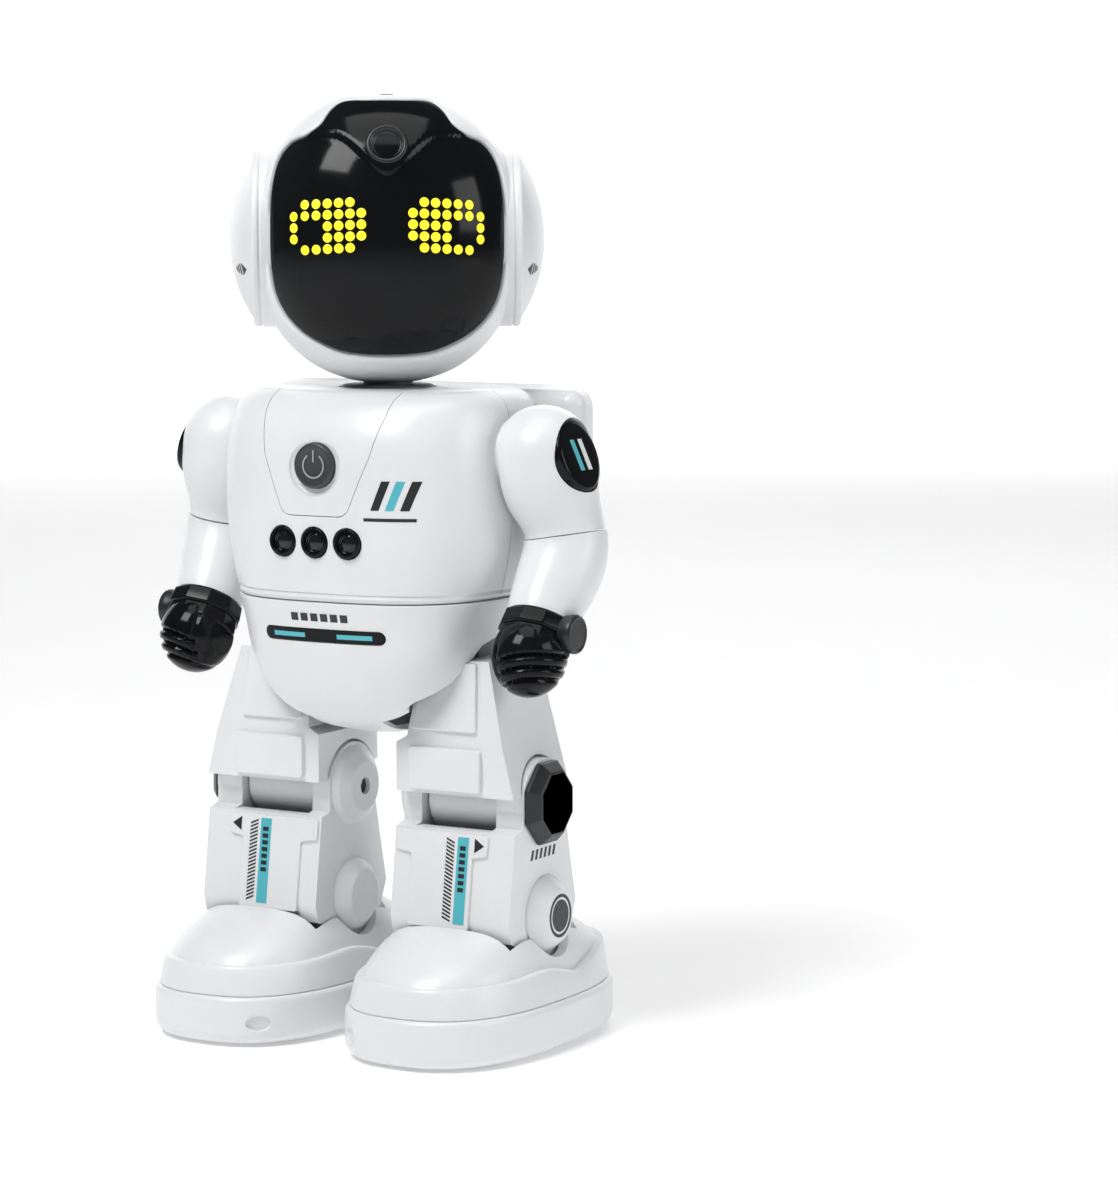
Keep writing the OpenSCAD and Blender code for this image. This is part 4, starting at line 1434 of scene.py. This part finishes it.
def leg_covers(name):
    """The cone over the outer end of the ankle, and the two round bosses on the inner side."""
    ankle = across(ANKLE)
    knee = across(KNEE)
    outer = turned("cone", [(11, 50), (11, 51.2), (7.6, 55.2), (7.1, 55.6), (0, 55.6)], ankle, 72)
    low = [(10.6, 13), (10.6, 12.2), (9.8, 10.6), (7.6, 8.7), (7.0, 8.4), (0, 8.4)]
    high = [(11.4, 13), (11.4, 12.2), (10.4, 10.4), (7.6, 8.5), (7.1, 8.2), (0, 8.2)]
    inner, upper = turned("boss", low, ankle, 64), turned("boss", high, knee, 64)
    combine(upper, rod("hole", 5, 9.8, KNEE, 2.45, 32))
    for part in (outer, inner, upper):
        soften(part, 0.3, 3, 25)
    return joined(name, (upper, inner, outer), 40)


def ankle_disc(name):
    """The dark print on the ankle's cone, a disc inside a thin ring, and a black plug at the bottom of the knee
    boss's hole, which is painted shade.
    """
    at = across(ANKLE)
    disc = turned(name, [(4.5, 55.4), (4.5, 55.68), (0, 55.68)], at, 48)
    ring = turned("ring", [(5.2, 55.4), (6.1, 55.4), (6.1, 55.68), (5.2, 55.68)], at, 56, looped=True)
    # Painted shade: a black plug at the bottom of the knee boss's hole, so that the hollow reads dark
    painted_hole_shade = rod("painted_hole_shade", 9.6, 10.2, KNEE, 2.4)
    return smooth(merge(disc, ring, painted_hole_shade), 40)


BOOT_POWER, BOOT_COUNT = 2.6, 96


def boot_ring(z, half, front, rear, wave=0.0):
    """One ring of the boot; wave moves the side ledge up and down along the foot."""
    outline = superellipse(half, front, rear, BOOT_POWER, BOOT_COUNT)
    return [(LEG_X + x, y, z + wave * spline(LEDGE, y)[0]) for x, y in outline]


LEDGE = [(-48, 0.0), (-24, 0.1), (-8, 0.9), (2, -0.6), (9, -2.2), (16, -0.6), (30, 2.2), (48, 3.4)]


# Height, half width, front and rear length of each ring of the boot, and how much it follows the ledge
BOOT = [
    (14.3, 27.6, 46.1, 46.1, 0), (14.6, 27.8, 46.3, 46.3, 0), (17.6, 27.3, 45.8, 45.9, 0),
    (21.2, 26.5, 44.9, 45.3, 0.8), (22.1, 26.1, 44.5, 45.0, 1), (22.4, 25.7, 44.1, 44.6, 1),
    (22.45, 24.5, 42.8, 43.5, 1), (23.0, 24.2, 42.4, 43.0, 1), (24.6, 23.9, 41.2, 42.0, 0.6),
    (26.2, 23.3, 39.2, 40.4, 0.3), (28.0, 22.5, 36.4, 38.4, 0.1), (29.6, 21.6, 33.4, 36, 0),
    (31.0, 20.5, 30.2, 33.2, 0), (32.3, 19.1, 26.8, 29.8, 0), (33.4, 17.4, 23.4, 26, 0),
    (34.2, 15.2, 19.4, 21.6, 0), (34.7, 12, 16, 17, 0),
]


def boot_form(name, inset):
    return loft(name, [
        boot_ring(z - inset, half - inset, front - inset, rear - inset, wave)
        for z, half, front, rear, wave in BOOT
    ])


def boot(name):
    obj = boot_form(name, 0)
    combine(obj, boot_form("room", WALL))
    slot = [(-21.6, 50), (-21.4, 36), (-20.8, 30), (-18.8, 24.8)]
    slot += arc((0, ANKLE.z), 17.4, 225, 330, 16) + [(18.4, 32), (20.6, 50)]
    combine(
        obj,
        prism("slot", shift(slot), 11.9, 51.5, "x"),
        rod("ankle", 51, 65, ANKLE, 11.5, 64),
        rod("ankle", 0, 12.4, ANKLE, 11.5, 64),
        block("top", (0, BODY_Y - 21, 31.2), (65, BODY_Y + 20, 60)),
    )
    return soften(obj, 0.4, 3, 40)


SOLE = [
    (1.0, 26.5, 45), (1.2, 27.3, 45.8), (1.9, 28.2, 46.7), (3.0, 28.75, 47.25), (4.4, 29, 47.5),
    (12.2, 29, 47.5), (13.2, 28.8, 47.3), (13.9, 28.4, 46.9), (14.2, 27.7, 46.2),
]


def sole(name):
    obj = loft(name, [boot_ring(z, half, length, length) for z, half, length in SOLE])
    room = loft("room", [boot_ring(z, half, length, length) for z, half, length in
                         ((3, 26.9, 45.4), (18, 26.7, 45.2))])
    combine(obj, room)
    toe = math.radians(35)
    inward = Vector((math.sin(toe), math.cos(toe), 0))
    start = Vector((LEG_X, -18.5, 7)) - inward * 31
    at = Matrix.Translation(start) @ inward.to_track_quat("Z", "Y").to_matrix().to_4x4()
    tools = [turned("recess", [(2.2, 0), (2.2, 2.8)], at @ Matrix.Diagonal((1.6, 1, 1, 1)), 40)]
    wheel = joint_at("left_wheel_roll")
    for x in (-13, 13):
        tools.append(block("well", (LEG_X + x - 4, wheel.y - 8, 0), (LEG_X + x + 4, wheel.y + 8, 8)))
    combine(obj, *tools)
    soften(obj, 0.4, 3, 40)
    posts = []
    for x in (20.5, 36.5):
        posts.append(block("post", (x, BODY_Y - 4, 2), (x + 4, BODY_Y + 4, 37)))
        posts.append(rod("eye", x, x + 4, ANKLE, 4.6))
    return merge(obj, *posts)


# Side, sign of X, and how far out the teal strip and the hatching run
SHIN_MARKS = [("left", 1, (33.2, 36.7), (29.6, 32.2)), ("right", -1, (28.5, 32), (33, 35.5))]


def make_legs():
    pair("thigh_skin", thigh, "torso", "white_shell", "thigh")
    pair("thigh_panel", thigh_panel, "torso", "white_shell")
    pair("shin_skin", shin, "shin", "white_shell", "shin")
    pair("shin_panel", shin_panel, "shin", "white_shell")
    for name, side, strip, hatch in SHIN_MARKS:
        put(leg_print(f"{name}_shin_stripe", side, *strip), f"{name}_shin", "white_shell", look="teal_print")
        put(leg_marks(f"{name}_shin_marks", side, strip, hatch), f"{name}_shin", "black_plastic")
    pair("knee_cover", knee_cap, "shin", "black_plastic", "knee_cap")
    pair("leg_bosses", leg_covers, "shin", "white_shell", "leg_covers")
    # The ankle print, with the painted shade in the knee bosses' holes
    pair("ankle_disc", ankle_disc, "shin", "black_plastic")
    pair("boot_skin", boot, "foot", "white_shell", "foot_upper")
    pair("sole_skin", sole, "foot", "white_shell", "sole")
    rollers = knee_roller("knee_rollers")
    merge(rollers, mirrored(rollers, "knee_rollers_right"))
    put(rollers, "torso", "white_shell", "knee_knuckles")


make_legs()

# ---------------------------------------------------------------- kept CAD nodes


def finish_kept_nodes():
    """Every CAD node that still shows gets its slot's material."""
    for obj in frame["nodes"].values():
        for entry in obj.material_slots:
            slot = entry.material.name.split(".")[0]
            if slot in LOOKS:
                entry.material = LOOKS[slot]


finish_kept_nodes()

# ---------------------------------------------------------------- floor and light


STUDIO_HALF, WALL_BACK, WALL_TOP = 2500, 2300, 1600
ROBOT_MIDDLE = Vector((0, 0, 0.13))
# Name, azimuth and elevation in degrees, distance and size in metres, and watts
LIGHTS = [
    ("key", -12, 52, 1.3, 0.55, 11.5), ("fill", 98, 18, 1.5, 0.7, 5.5),
    ("top", 30, 80, 1.4, 0.9, 5.5), ("back", 195, 35, 1.5, 1.0, 3),
]


def make_floor():
    """A pale floor and, far behind the robot, a pale wall square to the camera."""
    half = STUDIO_HALF
    corners = [(x, y, 0) for x, y in rect(-half, -half, half, half)]
    floor = shape("floor", corners, [(0, 1, 2, 3)])
    floor.data.materials.append(node_material(
        "floor", (0.95, 0.95, 0.955), (0.93, 0.93, 0.935), (0.55, 0.65), 0.1, 2,
        Emission_Color=(1, 1, 1, 1), Emission_Strength=0.2))
    away = place((0, 0, 0), z_turn=CAMERA_AZIMUTH)
    corners = [away @ Vector((x, WALL_BACK, z)) for x, z in rect(-half, 0, half, WALL_TOP)]
    wall = shape("wall", corners, [(0, 1, 2, 3)])
    wall.data.materials.append(node_material(
        "wall", (0.9, 0.9, 0.905), (0.87, 0.87, 0.875), (0.7, 0.8), 0.1, 2,
        Emission_Color=(1, 1, 1, 1), Emission_Strength=0.95))


def area_light(name, azimuth, elevation, distance, size, watts):
    """A soft panel that points at the middle of the robot."""
    data = bpy.data.lights.new(name, "AREA")
    data.shape = "SQUARE"
    data.size = size
    data.energy = watts
    lamp = bpy.data.objects.new(name, data)
    a, e = math.radians(azimuth), math.radians(elevation)
    way = Vector((math.sin(a) * math.cos(e), -math.cos(a) * math.cos(e), math.sin(e)))
    lamp.location = ROBOT_MIDDLE + way * distance
    lamp.rotation_euler = way.to_track_quat("Z", "Y").to_euler()
    bpy.context.scene.collection.objects.link(lamp)


def make_light():
    world = bpy.data.worlds.new("studio")
    world.use_nodes = True
    inputs = world.node_tree.nodes["Background"].inputs
    inputs["Color"].default_value = (0.97, 0.98, 1.0, 1)
    inputs["Strength"].default_value = 0.1
    bpy.context.scene.world = world
    bpy.context.scene.view_settings.view_transform = "Standard"
    for light in LIGHTS:
        area_light(*light)


make_floor()
make_light()
